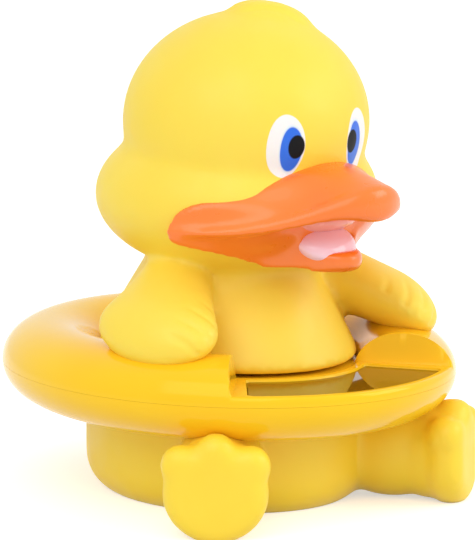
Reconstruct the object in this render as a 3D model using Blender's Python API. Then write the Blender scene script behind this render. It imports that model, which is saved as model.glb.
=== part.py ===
"""Baby bath thermometer: a duck figure seated in an oval ring that holds the display.

Metres, +Z up. The origin is on the floor under the middle of the ring. The duck
faces -Y, so its left side is +X. "Forward" below is the distance towards -Y.
"""

import math

import bmesh
import bpy
from mathutils import Matrix, Vector

# Fits shared by all pieces
GAP = 0.0003
WALL = 0.0020
OVERCUT = 0.0010

# Oval ring: outer edge, tube section and the height of the tube's middle
RING_HALF_WIDTH = 0.0500
RING_HALF_LENGTH = 0.0578
TUBE_HALF_WIDTH = 0.0118
TUBE_HALF_HEIGHT = 0.0094
RING_MID_Z = 0.0293
RING_STEPS = 36

# Flat deck inside the ring and the recess that opens it to the front
DECK_RISE = 0.0023
RECESS_HALF_ANGLE = math.radians(38.6)
RECESS_WALL_ANGLE = math.radians(1.6)

# Display window, measured inwards from the ring's outer edge
WINDOW_FRONT_INSET = 0.0021
WINDOW_BACK_INSET = 0.0208
WINDOW_HALF_ANGLE = math.radians(34.7)
WINDOW_CORNER = 0.0014
WINDOW_SINK = 0.0005
WINDOW_THICKNESS = 0.0011
WINDOW_SEAT = 0.0012
LEDGE_DEPTH = 0.0013

# Display stack under the window
BEZEL_THICKNESS = 0.0008
BEZEL_MARGIN = 0.0004
LCD_WIDTH = 0.0290
LCD_LENGTH = 0.0125
LCD_THICKNESS = 0.0014
LCD_INSET = 0.0143
LCD_BORDER = 0.0015
STRIP_WIDTH = 0.0018
STRIP_HEIGHT = 0.0008
BOARD_THICKNESS = 0.0010
BOARD_HALF_ANGLE = math.radians(34.0)
BOARD_OUTER_INSET = 0.0078
BOARD_INNER_INSET = 0.0234
BOARD_CORNER = 0.0015
BOARD_SCREW_ANGLE = math.radians(28.5)
BOARD_SCREW_INSET = 0.0140
BOARD_SCREW_RADIUS = 0.0008
BOARD_SCREW_HEAD = 0.0016
BOARD_SCREW_HEAD_HEIGHT = 0.0010
CHIP_RADIUS = 0.0030
CHIP_TOP_RADIUS = CHIP_RADIUS * 0.55
CHIP_HEIGHT = 0.0013
CHIP_INSET = 0.0205
CHIP_ANGLE = math.radians(22.0)

# Joint between the two ring shells
SEAL_WIDTH = 0.0007
SEAL_INSET = 0.0009
SEAL_HEIGHT = 0.0005
SEAL_GROOVE_DEPTH = 0.0008

# Collar on the deck that carries the figure
COLLAR_RADIUS = 0.0177
COLLAR_WALL = 0.0020
COLLAR_HEIGHT = 0.0050
COLLAR_BEAD = 0.0008

# Figure: head
HEAD_FORWARD = 0.0075
HEAD_Z = 0.0865
HEAD_RADIUS = 0.0283
HEAD_HALF_HEIGHT = 0.0253
CHEEK_FORWARD = 0.0037
CHEEK_Z = 0.0696
CHEEK_RADIUS = 0.0326
CHEEK_HALF_HEIGHT = 0.0186

# Figure: body
NECK_RADIUS = 0.0190
NECK_DEPTH = 0.0120
TORSO_HALF_WIDTH = 0.0280
TORSO_HALF_LENGTH = 0.0345
TORSO_TOP_Z = 0.0560
TORSO_SHOULDER = 0.58
TORSO_EDGE = 0.0030

# Figure: wings, a row of lobes from the shoulder to the wing
WING_FORWARD = 0.0202
WING_OUT = 0.0336
WING_Z = 0.0436
WING_LENGTH = 0.0166
WING_WIDTH = 0.0100
WING_THICKNESS = 0.0066
WING_ROLL = math.radians(36.0)
WING_YAW = math.radians(12.0)
SHOULDER_FORWARD = 0.0120
SHOULDER_OUT = 0.0235
SHOULDER_Z = 0.0490
SHOULDER_LENGTH = 0.0110
SHOULDER_WIDTH = 0.0105
SHOULDER_THICKNESS = 0.0070
WING_LOBES = 4

# Figure: the face is turned a little to the duck's left
HEAD_TURN = math.radians(7.2)

# Figure: bill, plan curves swept about the middle of the cheeks
MOUTH_HALF_WIDTH = 0.0320
MOUTH_CORNER_FORWARD = 0.0148
MOUTH_SPREAD = 0.72
BILL_ROOT_DEPTH = 0.0050
BILL_STEPS = 40
UPPER_REACH = 0.0516
UPPER_HALF_WIDTH = 0.0203
UPPER_FLARE_POWER = 7.0
FLANK_DIP = 0.0022
JOIN_CORNER_Z = 0.0705
JOIN_RISE = 0.0089
CREASE_CORNER_Z = 0.0660
CREASE_RISE = 0.0102
ROLL_CORNER = 0.0014
ROLL_SIDE = 0.0034
ROLL_TIP = 0.0026
ROLL_TIP_ANGLE = math.radians(16.0)
ROLL_OUT = 0.0015
PALATE_RISE = 0.0015
LOWER_REACH = 0.0430
LOWER_HALF_WIDTH = 0.0106
LOWER_FLARE_POWER = 9.0
LIP_SHARE = 0.18
LOWER_CENTRE_Z = 0.05535
LOWER_CORNER_RISE = 0.0067
LOWER_ROLL = 0.0046
LOWER_ROOT_DEPTH = 0.0070
LIPS_PART_TURN = math.radians(25.0)
LIPS_MEET_TURN = math.radians(61.0)
LEAN_TURN = math.radians(48.0)
FULL_LEAN_TURN = math.radians(66.0)
LEAN = 0.38
LIPS_STEP = 0.0023
TONGUE_FORWARD = 0.0285
TONGUE_Z = 0.0628
TONGUE_HALF_WIDTH = 0.0094
TONGUE_HALF_LENGTH = 0.0112
TONGUE_HALF_HEIGHT = 0.0043
TONGUE_PITCH = math.radians(13.0)

# Figure: eyes and tuft
EYE_OUT = 0.0112
EYE_TURN = math.radians(5.0)
EYE_Z = 0.0837
EYE_HALF_WIDTH = 0.0048
EYE_HALF_HEIGHT = 0.0071
EYE_RISE = 0.0007
TUFT_FORWARD = 0.0115
TUFT_OUT = 0.0038
TUFT_Z = 0.1096
TUFT_LENGTH = 0.0100
TUFT_WIDTH = 0.0058
TUFT_HEIGHT = 0.0045
TUFT_LEAN = math.radians(12.0)
TUFT_LOCKS = ((0.0, 1.0, math.radians(-30.0)), (-0.0015, 0.8, math.radians(12.0)))

# Seat: tub, legs and webbed feet
SEAT_HALF_WIDTH = 0.0315
SEAT_HALF_LENGTH = 0.0360
SEAT_EDGE = 0.0086
SEAT_EDGE_SHARE = 0.75
FOOT_ANGLE = math.radians(38.2)
FOOT_REACH = 0.0583
FOOT_THICKNESS = 0.0085
FOOT_HALF_WIDTH = 0.0117
FOOT_HEIGHT = 0.0235
TOE_RADIUS = 0.0046
TOE_SPACING = 0.0076
TOE_DROP = 0.0026
TOE_SHARE = 0.9
FOOT_FLARE = 0.07
LEG_HALF_WIDTH = 0.0095
LEG_HALF_HEIGHT = 0.0104
LEG_ROOT = 0.0146
LEG_HALF_LENGTH = 0.0157
ANKLE_ROOT = 0.0055
ANKLE_HALF_LENGTH = 0.0075

# Battery pocket and door in the seat's floor
CELL_RADIUS = 0.0058
CELL_LIP_SHARE = 0.08
CELL_HEIGHT = 0.0054
CELL_SPACING = 0.0128
BRIDGE_OVERLAP = 0.6
POCKET_HALF_WIDTH = 0.0135
POCKET_HALF_LENGTH = 0.0070
POCKET_ROOF = 0.0016
SLOT_HALF_WIDTH = 0.0012
SLOT_HALF_LENGTH = 0.0006
CONTACT_THICKNESS = 0.0004
SPRING_HEIGHT = 0.0012
DOOR_HALF_WIDTH = 0.0190
DOOR_HALF_LENGTH = 0.0095
DOOR_THICKNESS = 0.0018
SCREW_SINK_SHARE = 0.55
DOOR_CORNER = 0.0030
DOOR_SINK = 0.0004
DOOR_SEAL_HEIGHT = 0.0008
DOOR_SEAL_WIDTH = 0.0010
DOOR_SCREW_OUT = 0.0166
DOOR_SCREW_RADIUS = 0.0009
DOOR_SCREW_HEAD = 0.0016
DOOR_SCREW_LENGTH = 0.0050

# Four long screws that clamp seat, lower shell and upper shell
SHELL_SCREW_OUT = 0.0185
SHELL_SCREW_FORWARD = 0.0170
SHELL_SCREW_RADIUS = 0.0013
SHELL_SCREW_HEAD = 0.0025
SHELL_SCREW_HEAD_HEIGHT = 0.0020
SHELL_SCREW_HEAD_Z = 0.0120
SHELL_SCREW_TOP_Z = 0.0268
COLUMN_WALL = 0.0018

# Temperature sensor in the seat's floor
SENSOR_FORWARD = -0.0210
SENSOR_RADIUS = 0.0040
SENSOR_FLANGE = 0.0012
SENSOR_HEIGHT = 0.0042
SENSOR_WALL = 0.0006
SENSOR_SINK = 0.0003
THERMISTOR_RADIUS = 0.0012
LEAD_RADIUS = 0.0006
SENSOR_LEAD_RADIUS = 0.0008
SENSOR_LEAD_RISE = 0.0050
LEAD_RISE = 0.0030
LEAD_LIFT = 0.0010
LEAD_FIRST_BEND = 0.0050
LEAD_BEND_BACK = 0.0060
PAD_INSET = 0.0018
CABLE_HOLE_RADIUS = 0.0090
CABLE_HOLE_FORWARD = 0.0120

# Surface of the moulded vinyl pieces
FIGURE_VOXEL = 0.0011
FIGURE_FACES = 3120
FIGURE_PASSES = 5
SEAT_VOXEL = 0.0012
SEAT_FACES = 820
SEAT_PASSES = 4
CORE_VOXEL = 0.0016
CORE_FACES = 420
CORE_PASSES = 1

# Heights and insets that follow from the sizes above
LCD_FORWARD = RING_HALF_LENGTH - LCD_INSET
DECK_Z = RING_MID_Z + DECK_RISE
RING_FLOOR_Z = RING_MID_Z - TUBE_HALF_HEIGHT
SEAT_TOP_Z = RING_FLOOR_Z - GAP
FIGURE_Z = DECK_Z + GAP
POCKET_TOP_Z = DOOR_SINK + DOOR_THICKNESS + DOOR_SEAL_HEIGHT + CELL_HEIGHT + 4 * GAP + SPRING_HEIGHT


def place(out, forward, z):
    """Point at a distance to the duck's left, a distance forward and a height."""
    return Vector((out, -forward, z))


def ring_point(inset, angle, z):
    """Point inside the ring's outer edge, its angle measured from the front."""
    across = RING_HALF_WIDTH - inset
    along = RING_HALF_LENGTH - inset
    return Vector((across * math.sin(angle), -along * math.cos(angle), z))


def clear_scene():
    """Remove every object of the open scene."""
    for item in list(bpy.data.objects):
        bpy.data.objects.remove(item, do_unlink=True)


def finish(name, colour, roughness, metallic=0.0):
    """Principled material of one sub-part."""
    material = bpy.data.materials.new(name)
    material.use_nodes = True
    shader = material.node_tree.nodes["Principled BSDF"]
    shader.inputs["Base Color"].default_value = (*colour, 1.0)
    shader.inputs["Roughness"].default_value = roughness
    shader.inputs["Metallic"].default_value = metallic
    return material


def new_object(name, bm, material=None, sharp=35.0):
    """Turn a bmesh into an object, with outward faces and smooth round sides."""
    bmesh.ops.recalc_face_normals(bm, faces=bm.faces[:])
    mesh = bpy.data.meshes.new(name)
    bm.to_mesh(mesh)
    bm.free()
    item = bpy.data.objects.new(name, mesh)
    bpy.context.scene.collection.objects.link(item)
    if material is not None:
        mesh.materials.append(material)
    mesh.shade_smooth()
    mesh.set_sharp_from_angle(angle=math.radians(sharp))
    return item


def bake(item):
    """Keep the modified shape as the object's own mesh."""
    graph = bpy.context.evaluated_depsgraph_get()
    mesh = bpy.data.meshes.new_from_object(item.evaluated_get(graph))
    item.modifiers.clear()
    item.data = mesh


def combine(item, tool, operation):
    """Apply one Boolean of a tool object and remove the tool."""
    modifier = item.modifiers.new(operation.lower(), "BOOLEAN")
    modifier.operation = operation
    modifier.solver = "EXACT"
    modifier.object = tool
    bake(item)
    bpy.data.objects.remove(tool, do_unlink=True)


def add_ellipsoid(bm, centre, radii, turn=None, detail=4):
    """Ellipsoid from an icosphere, turned about its own centre."""
    matrix = Matrix.Translation(centre)
    if turn is not None:
        matrix = matrix @ turn
    matrix = matrix @ Matrix.Diagonal((*radii, 1.0))
    bmesh.ops.create_icosphere(bm, subdivisions=detail, radius=1.0, matrix=matrix)


def add_cylinder(bm, out, forward, z0, z1, radius, top_radius=None, segments=24):
    """Upright round bar or cone between two heights."""
    matrix = Matrix.Translation(place(out, forward, (z0 + z1) / 2))
    bmesh.ops.create_cone(
        bm,
        cap_ends=True,
        segments=segments,
        radius1=radius,
        radius2=radius if top_radius is None else top_radius,
        depth=z1 - z0,
        matrix=matrix,
    )


def add_loft(bm, rings):
    """Closed skin through a list of point loops, with both end loops capped."""
    loops = [[bm.verts.new(point) for point in ring] for ring in rings]
    count = len(loops[0])
    for low, high in zip(loops, loops[1:]):
        for index in range(count):
            after = (index + 1) % count
            bm.faces.new((low[index], low[after], high[after], high[index]))
    bm.faces.new(loops[0][::-1])
    bm.faces.new(loops[-1])


def rounded_outline(half_x, half_y, corner, steps=5, edge_steps=1):
    """Plane outline of a rounded rectangle about the origin, counter-clockwise."""
    points = []
    centres = ((1, 1, 0), (-1, 1, 1), (-1, -1, 2), (1, -1, 3))
    for side_x, side_y, quarter in centres:
        for step in range(steps + 1):
            angle = math.pi / 2 * (quarter + step / steps)
            x = side_x * (half_x - corner) + corner * math.cos(angle)
            y = side_y * (half_y - corner) + corner * math.sin(angle)
            points.append((x, y))
    if edge_steps == 1:
        return points
    dense = []
    step_length = 2 * max(half_x, half_y) / edge_steps
    for start, end in zip(points, points[1:] + points[:1]):
        pieces = max(1, round(math.dist(start, end) / step_length))
        for piece in range(pieces):
            share = piece / pieces
            dense.append(tuple(a + (b - a) * share for a, b in zip(start, end)))
    return dense


def add_plate(bm, outline, z0, z1):
    """Flat plate from a plan outline of X, Y pairs."""
    add_loft(bm, [[Vector((x, y, z)) for x, y in outline] for z in (z0, z1)])


def arc_outline(front_inset, back_inset, half_angle, corner):
    """Plan outline of a rounded band that follows the front of the ring."""
    middle = (front_inset + back_inset) / 2
    radius = (RING_HALF_WIDTH + RING_HALF_LENGTH) / 2 - middle
    half_run = half_angle * radius
    half_band = (back_inset - front_inset) / 2
    outline = []
    for run, depth in rounded_outline(half_run, half_band, corner, 3, 14):
        point = ring_point(middle - depth, -run / radius, 0.0)
        outline.append((point.x, point.y))
    return outline


def add_box(bm, out, forward, z0, z1, half_x, half_y):
    """Upright block about a plan point."""
    corners = ((-half_x, -half_y), (half_x, -half_y), (half_x, half_y), (-half_x, half_y))
    add_plate(bm, [(out + x, y - forward) for x, y in corners], z0, z1)


def oval_outline(half_x, half_y, steps):
    """Plan outline of an oval."""
    turns = [2 * math.pi * step / steps for step in range(steps)]
    return [(half_x * math.cos(turn), half_y * math.sin(turn)) for turn in turns]


def smooth_step(value):
    """Ease from 0 to 1."""
    value = min(max(value, 0.0), 1.0)
    return value * value * (3 - 2 * value)


def ring_angles():
    """Angles round the ring, closer together at the two ends of the recess."""
    regular = [2 * math.pi * step / RING_STEPS for step in range(RING_STEPS)]
    edges = []
    for share in (-0.5, 0.0, 0.5, 1.0, 1.5):
        edge = RECESS_HALF_ANGLE + RECESS_WALL_ANGLE * share
        edges += [edge, 2 * math.pi - edge]
    spacing = math.pi / RING_STEPS
    kept = [angle for angle in regular if min(abs(angle - edge) for edge in edges) > spacing / 2]
    return sorted(kept + edges)


def recess_limit(angle, floor_z):
    """Greatest height of the ring at an angle: the floor inside the recess."""
    from_front = min(angle, 2 * math.pi - angle)
    rise = smooth_step((from_front - RECESS_HALF_ANGLE) / RECESS_WALL_ANGLE)
    return floor_z + rise * TUBE_HALF_HEIGHT


def upper_shell_section(angle):
    """Closed wall section of the upper shell at one angle, from deck to joint and back."""
    deck_turn = math.asin(DECK_RISE / TUBE_HALF_HEIGHT)
    points = []
    turns = [math.pi - deck_turn]
    turns += [math.radians(degrees) for degrees in (146, 126, 106, 86, 66, 47, 30)]
    turns += [deck_turn, 0.0]
    for turn in turns:
        inset = TUBE_HALF_WIDTH * (1 - math.cos(turn))
        height = RING_MID_Z + TUBE_HALF_HEIGHT * math.sin(turn)
        points.append(ring_point(inset, angle, min(height, recess_limit(angle, DECK_Z))))
    underside = DECK_Z - WALL - GAP / 2
    inner_width = TUBE_HALF_WIDTH - WALL
    inner_height = TUBE_HALF_HEIGHT - WALL
    inner_turn = math.asin((underside - RING_MID_Z) / inner_height)
    turns = [0.0] + [math.radians(degrees) for degrees in (35, 70, 110, 145)] + [math.pi - inner_turn]
    for turn in turns:
        inset = TUBE_HALF_WIDTH - inner_width * math.cos(turn)
        height = RING_MID_Z + inner_height * math.sin(turn)
        points.append(ring_point(inset, angle, min(height, recess_limit(angle, underside))))
    return points


def lower_shell_section(angle):
    """Closed wall section of the lower shell at one angle, from floor to joint and back."""
    rim_z = RING_MID_Z - GAP
    points = []
    for degrees in (-90, -72, -54, -36, -18):
        turn = math.radians(degrees)
        inset = TUBE_HALF_WIDTH * (1 - math.cos(turn))
        points.append(ring_point(inset, angle, RING_MID_Z + TUBE_HALF_HEIGHT * math.sin(turn)))
    points.append(ring_point(0.0, angle, rim_z))
    groove_inset = SEAL_INSET
    groove_z = rim_z - SEAL_GROOVE_DEPTH
    points.append(ring_point(groove_inset, angle, rim_z))
    points.append(ring_point(groove_inset, angle, groove_z))
    inner_width = TUBE_HALF_WIDTH - WALL
    inner_height = TUBE_HALF_HEIGHT - WALL
    start = math.degrees(math.asin((groove_z - RING_MID_Z) / inner_height))
    for degrees in (start, -42, -66, -90):
        turn = math.radians(degrees)
        inset = TUBE_HALF_WIDTH - inner_width * math.cos(turn)
        points.append(ring_point(inset, angle, RING_MID_Z + inner_height * math.sin(turn)))
    return points


def add_shell(bm, section):
    """Sweep an open section round the ring and close both inner edges with flats."""
    stations = [[bm.verts.new(point) for point in section(angle)] for angle in ring_angles()]
    count = len(stations)
    for index in range(count):
        here = stations[index]
        there = stations[(index + 1) % count]
        for row in range(len(here) - 1):
            bm.faces.new((here[row], here[row + 1], there[row + 1], there[row]))
    bm.faces.new([station[0] for station in stations])
    bm.faces.new([station[-1] for station in stations][::-1])
    bmesh.ops.triangulate(bm, faces=bm.faces[:])


def shell_screw_places():
    """Plan places of the four long screws."""
    return [
        (side * SHELL_SCREW_OUT, end * SHELL_SCREW_FORWARD)
        for side in (-1, 1)
        for end in (-1, 1)
    ]


def board_screw_places():
    """Plan places of the two board screws."""
    points = [ring_point(BOARD_SCREW_INSET, side * BOARD_SCREW_ANGLE, 0.0) for side in (-1, 1)]
    return [(point.x, -point.y) for point in points]


def window_seat_z():
    """Height of the ledge that the window rests on."""
    return DECK_Z - WINDOW_SINK - WINDOW_THICKNESS - GAP


def board_top_z():
    """Height of the board's upper face, hung below the window's ledge."""
    ledge_z = window_seat_z() - LEDGE_DEPTH
    return ledge_z - BEZEL_THICKNESS - LCD_THICKNESS - STRIP_HEIGHT - 4 * GAP


def build_upper_shell(material):
    """Dome of the ring with the deck, the window's aperture, the collar and the bosses."""
    bm = bmesh.new()
    add_shell(bm, upper_shell_section)
    shell = new_object("ring_upper_shell", bm, material)

    ledge = bmesh.new()
    seat_z = window_seat_z()
    outline = arc_outline(
        WINDOW_FRONT_INSET + GAP, WINDOW_BACK_INSET + WALL, WINDOW_HALF_ANGLE * 1.06, WINDOW_CORNER
    )
    add_plate(ledge, outline, seat_z - LEDGE_DEPTH, DECK_Z - WALL / 2)
    combine(shell, new_object("ledge", ledge), "UNION")

    pocket = bmesh.new()
    outline = arc_outline(WINDOW_FRONT_INSET, WINDOW_BACK_INSET, WINDOW_HALF_ANGLE, WINDOW_CORNER)
    add_plate(pocket, outline, seat_z, DECK_Z + OVERCUT)
    combine(shell, new_object("pocket", pocket), "DIFFERENCE")

    aperture = bmesh.new()
    outline = arc_outline(
        WINDOW_FRONT_INSET + WINDOW_SEAT,
        WINDOW_BACK_INSET - WINDOW_SEAT,
        WINDOW_HALF_ANGLE - WINDOW_SEAT / RING_HALF_WIDTH,
        WINDOW_CORNER,
    )
    add_plate(aperture, outline, seat_z - LEDGE_DEPTH - OVERCUT, DECK_Z + OVERCUT)
    combine(shell, new_object("aperture", aperture), "DIFFERENCE")

    collar = bmesh.new()
    top_z = DECK_Z + COLLAR_HEIGHT
    inner = COLLAR_RADIUS - COLLAR_WALL
    bead_z = FIGURE_Z + WALL + GAP
    profile = (
        (inner, DECK_Z - WALL / 2),
        (COLLAR_RADIUS, DECK_Z - WALL / 2),
        (COLLAR_RADIUS, bead_z),
        (COLLAR_RADIUS + COLLAR_BEAD, bead_z + COLLAR_BEAD),
        (COLLAR_RADIUS, top_z),
        (inner, top_z),
    )
    add_turned(collar, profile, 28)
    combine(shell, new_object("collar", collar), "UNION")

    bosses = bmesh.new()
    bores = bmesh.new()
    base_z = RING_FLOOR_Z + WALL + GAP
    bore_radius = SHELL_SCREW_RADIUS + GAP
    for out, forward in shell_screw_places():
        add_cylinder(bosses, out, forward, base_z, DECK_Z - WALL / 2, bore_radius + COLUMN_WALL, segments=16)
        add_cylinder(bores, out, forward, base_z - OVERCUT, SHELL_SCREW_TOP_Z + GAP, bore_radius, segments=12)
    combine(shell, new_object("bosses", bosses), "UNION")
    combine(shell, new_object("bores", bores), "DIFFERENCE")
    return shell


def add_turned(bm, profile, segments):
    """Closed profile of radius, height pairs turned about the Z axis."""
    rings = []
    for step in range(segments):
        turn = 2 * math.pi * step / segments
        rings.append([bm.verts.new((r * math.cos(turn), r * math.sin(turn), z)) for r, z in profile])
    count = len(profile)
    for index in range(segments):
        here = rings[index]
        there = rings[(index + 1) % segments]
        for row in range(count):
            after = (row + 1) % count
            bm.faces.new((here[row], here[after], there[after], there[row]))


def build_lower_shell(material):
    """Tray of the ring with the cable hole, the screw holes and the board's bosses."""
    bm = bmesh.new()
    add_shell(bm, lower_shell_section)
    shell = new_object("ring_lower_shell", bm, material)
    for out, forward in board_screw_places():
        boss = bmesh.new()
        top_z = board_top_z() - BOARD_THICKNESS - GAP
        floor_z = RING_FLOOR_Z + WALL / 2
        add_cylinder(boss, out, forward, floor_z, top_z, BOARD_SCREW_RADIUS + GAP + COLUMN_WALL / 2)
        combine(shell, new_object("boss", boss), "UNION")
    cuts = bmesh.new()
    low_z = RING_FLOOR_Z - OVERCUT
    high_z = RING_FLOOR_Z + WALL + OVERCUT
    add_cylinder(cuts, 0.0, CABLE_HOLE_FORWARD, low_z, high_z, CABLE_HOLE_RADIUS, segments=32)
    for out, forward in shell_screw_places():
        add_cylinder(cuts, out, forward, low_z, high_z, SHELL_SCREW_RADIUS + GAP, segments=12)
    for out, forward in board_screw_places():
        bore_z = RING_FLOOR_Z + WALL / 4
        add_cylinder(cuts, out, forward, bore_z, high_z + WALL, BOARD_SCREW_RADIUS + GAP, segments=12)
    combine(shell, new_object("holes", cuts), "DIFFERENCE")
    return shell


def build_ring_seal(material):
    """Oval gasket in the groove of the joint."""
    bm = bmesh.new()
    outer = SEAL_INSET + GAP
    inner = outer + SEAL_WIDTH
    base_z = RING_MID_Z - GAP - SEAL_GROOVE_DEPTH + GAP
    profile = ((outer, base_z), (inner, base_z), (inner, base_z + SEAL_HEIGHT), (outer, base_z + SEAL_HEIGHT))
    stations = []
    for angle in ring_angles():
        stations.append([bm.verts.new(ring_point(inset, angle, z)) for inset, z in profile])
    count = len(stations)
    for index in range(count):
        here = stations[index]
        there = stations[(index + 1) % count]
        for row in range(4):
            after = (row + 1) % 4
            bm.faces.new((here[row], here[after], there[after], there[row]))
    return new_object("ring_seal", bm, material)


def build_window(material):
    """Curved lens that closes the aperture."""
    bm = bmesh.new()
    outline = arc_outline(
        WINDOW_FRONT_INSET + GAP,
        WINDOW_BACK_INSET - GAP,
        WINDOW_HALF_ANGLE - GAP / RING_HALF_WIDTH,
        WINDOW_CORNER - GAP,
    )
    base_z = window_seat_z() + GAP
    add_plate(bm, outline, base_z, base_z + WINDOW_THICKNESS)
    return new_object("display_window", bm, material)


def build_bezel(material):
    """Dark mask under the window with the aperture of the display."""
    bm = bmesh.new()
    top_z = window_seat_z() - LEDGE_DEPTH - GAP
    outline = arc_outline(
        WINDOW_FRONT_INSET + WALL / 4 + BEZEL_MARGIN,
        WINDOW_BACK_INSET + BEZEL_MARGIN,
        WINDOW_HALF_ANGLE,
        WINDOW_CORNER,
    )
    add_plate(bm, outline, top_z - BEZEL_THICKNESS, top_z)
    bezel = new_object("display_bezel", bm, material)
    hole = bmesh.new()
    half_x = LCD_WIDTH / 2 - LCD_BORDER
    half_y = LCD_LENGTH / 2 - LCD_BORDER
    add_box(hole, 0.0, LCD_FORWARD, top_z - BEZEL_THICKNESS - OVERCUT, top_z + OVERCUT, half_x, half_y)
    combine(bezel, new_object("hole", hole), "DIFFERENCE")
    return bezel


def build_lcd(material):
    """Glass of the display."""
    bm = bmesh.new()
    base_z = board_top_z() + STRIP_HEIGHT + 2 * GAP
    add_box(bm, 0.0, LCD_FORWARD, base_z, base_z + LCD_THICKNESS, LCD_WIDTH / 2, LCD_LENGTH / 2)
    return new_object("lcd_glass", bm, material)


def build_strip(material):
    """Elastomer connector between the board and the display."""
    bm = bmesh.new()
    base_z = board_top_z() + GAP
    forward = LCD_FORWARD - LCD_LENGTH / 2 + STRIP_WIDTH
    half_x = LCD_WIDTH / 2 - LCD_BORDER
    add_box(bm, 0.0, forward, base_z, base_z + STRIP_HEIGHT, half_x, STRIP_WIDTH / 2)
    return new_object("elastomer_connector", bm, material)


def build_board(material):
    """Circuit board that follows the ring, with its two screw holes."""
    bm = bmesh.new()
    outline = arc_outline(BOARD_OUTER_INSET, BOARD_INNER_INSET, BOARD_HALF_ANGLE, BOARD_CORNER)
    top_z = board_top_z()
    add_plate(bm, outline, top_z - BOARD_THICKNESS, top_z)
    board = new_object("circuit_board", bm, material)
    cuts = bmesh.new()
    for out, forward in board_screw_places():
        low_z = top_z - BOARD_THICKNESS - OVERCUT
        add_cylinder(cuts, out, forward, low_z, top_z + OVERCUT, BOARD_SCREW_RADIUS + GAP, segments=16)
    combine(board, new_object("holes", cuts), "DIFFERENCE")
    return board


def build_chip(material):
    """Moulded driver chip on the board."""
    bm = bmesh.new()
    spot = ring_point(CHIP_INSET, CHIP_ANGLE, board_top_z() + GAP)
    add_cylinder(bm, spot.x, -spot.y, spot.z, spot.z + CHIP_HEIGHT, CHIP_RADIUS, CHIP_TOP_RADIUS, 20)
    return new_object("driver_chip", bm, material)


def build_board_screws(material):
    """Two small screws that hold the board on the lower shell."""
    for name, (out, forward) in zip(("right", "left"), board_screw_places()):
        bm = bmesh.new()
        seat_z = board_top_z() + GAP
        head_top_z = seat_z + BOARD_SCREW_HEAD_HEIGHT
        add_cylinder(bm, out, forward, seat_z, head_top_z, BOARD_SCREW_HEAD, segments=16)
        screw = new_object("board_screw_" + name, bm, material)
        shank = bmesh.new()
        low_z = RING_FLOOR_Z + WALL / 4 + GAP
        add_cylinder(shank, out, forward, low_z, seat_z + GAP, BOARD_SCREW_RADIUS, segments=12)
        combine(screw, new_object("shank", shank), "UNION")


def add_pad(bm, half_x, half_y, half_z, matrix, flare=0.0):
    """Upright oval pad with a crowned face and back, wider above by its flare."""
    loops = []
    for step in range(9):
        tilt = math.radians(80.0) * (step / 4 - 1)
        depth = half_y * math.sin(tilt)
        scale = math.cos(tilt) ** 0.5
        outline = oval_outline(half_x * scale, half_z * scale, 32)
        loops.append([matrix @ Vector((x * (1 + flare * z / half_z), depth, z)) for x, z in outline])
    add_loft(bm, loops)


def head_plan(angle, inset):
    """Plan point on the cheeks, moved inwards."""
    radius = CHEEK_RADIUS - inset
    return radius * math.sin(angle), CHEEK_FORWARD + radius * math.cos(angle)


def bill_plan(turn, reach, half_width, flare_power):
    """Plan point on a bill's outline: the front at 0, a mouth corner at 90 degrees."""
    flare = (MOUTH_HALF_WIDTH - half_width) * abs(math.sin(turn)) ** flare_power
    out = (half_width + flare) * math.sin(turn)
    forward = MOUTH_CORNER_FORWARD + (reach - MOUTH_CORNER_FORWARD) * max(math.cos(turn), 0.0) ** 0.9
    return out, forward


def bill_turns():
    """Turns from one mouth corner to the other."""
    return [math.pi * (step / BILL_STEPS - 0.5) for step in range(BILL_STEPS + 1)]


def between(start, end, share):
    """Plan point part of the way from one plan point to another."""
    return start[0] + (end[0] - start[0]) * share, start[1] + (end[1] - start[1]) * share


def crease_z(turn):
    """Height of the crease between the upper side and the rolled lip."""
    return CREASE_CORNER_Z + CREASE_RISE * max(math.cos(turn), 0.0) ** 2.2


def roll_height(turn):
    """Height of the rolled upper lip, thickest at the tip."""
    tip = math.exp(-(turn / ROLL_TIP_ANGLE) ** 2)
    return ROLL_CORNER + ROLL_SIDE * max(math.cos(turn), 0.0) + ROLL_TIP * tip


def upper_section(turn):
    """Loop over the crowned top of the upper bill, round its lip and back underneath."""
    front = max(math.cos(turn), 0.0)
    angle = turn * MOUTH_SPREAD
    root = head_plan(angle, BILL_ROOT_DEPTH)
    lip = bill_plan(turn, UPPER_REACH, UPPER_HALF_WIDTH, UPPER_FLARE_POWER)
    dip = FLANK_DIP * math.sin(2 * turn) ** 2
    crease = crease_z(turn)
    bottom = crease - roll_height(turn)
    top = JOIN_CORNER_Z + JOIN_RISE * math.cos(angle) ** 4.2
    fullness = 1.15 + 9.0 * abs(math.sin(turn)) ** 6
    rounding = 0.95 - 0.35 * abs(math.sin(turn)) ** 6
    start = 1 - ROLL_OUT / max(math.dist(root, lip), 2 * ROLL_OUT)
    points = []
    for step in range(9):
        share = math.sin(math.pi / 2 * step / 8)
        crown = (1 - share ** fullness) ** rounding
        z = crease + (top - crease) * crown - dip * math.sin(math.pi * share)
        points.append(place(*between(root, lip, share * start), z))
    for step in range(1, 7):
        tilt = math.pi / 2 - math.pi * step / 7
        z = (crease + bottom) / 2 + (crease - bottom) / 2 * math.sin(tilt)
        points.append(place(*between(root, lip, start + (1 - start) * math.cos(tilt) ** 0.8), z))
    for step in range(7):
        share = 1 - step / 6
        z = bottom + PALATE_RISE * front * (1 - share)
        points.append(place(*between(root, lip, share * start), z))
    return points


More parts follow.
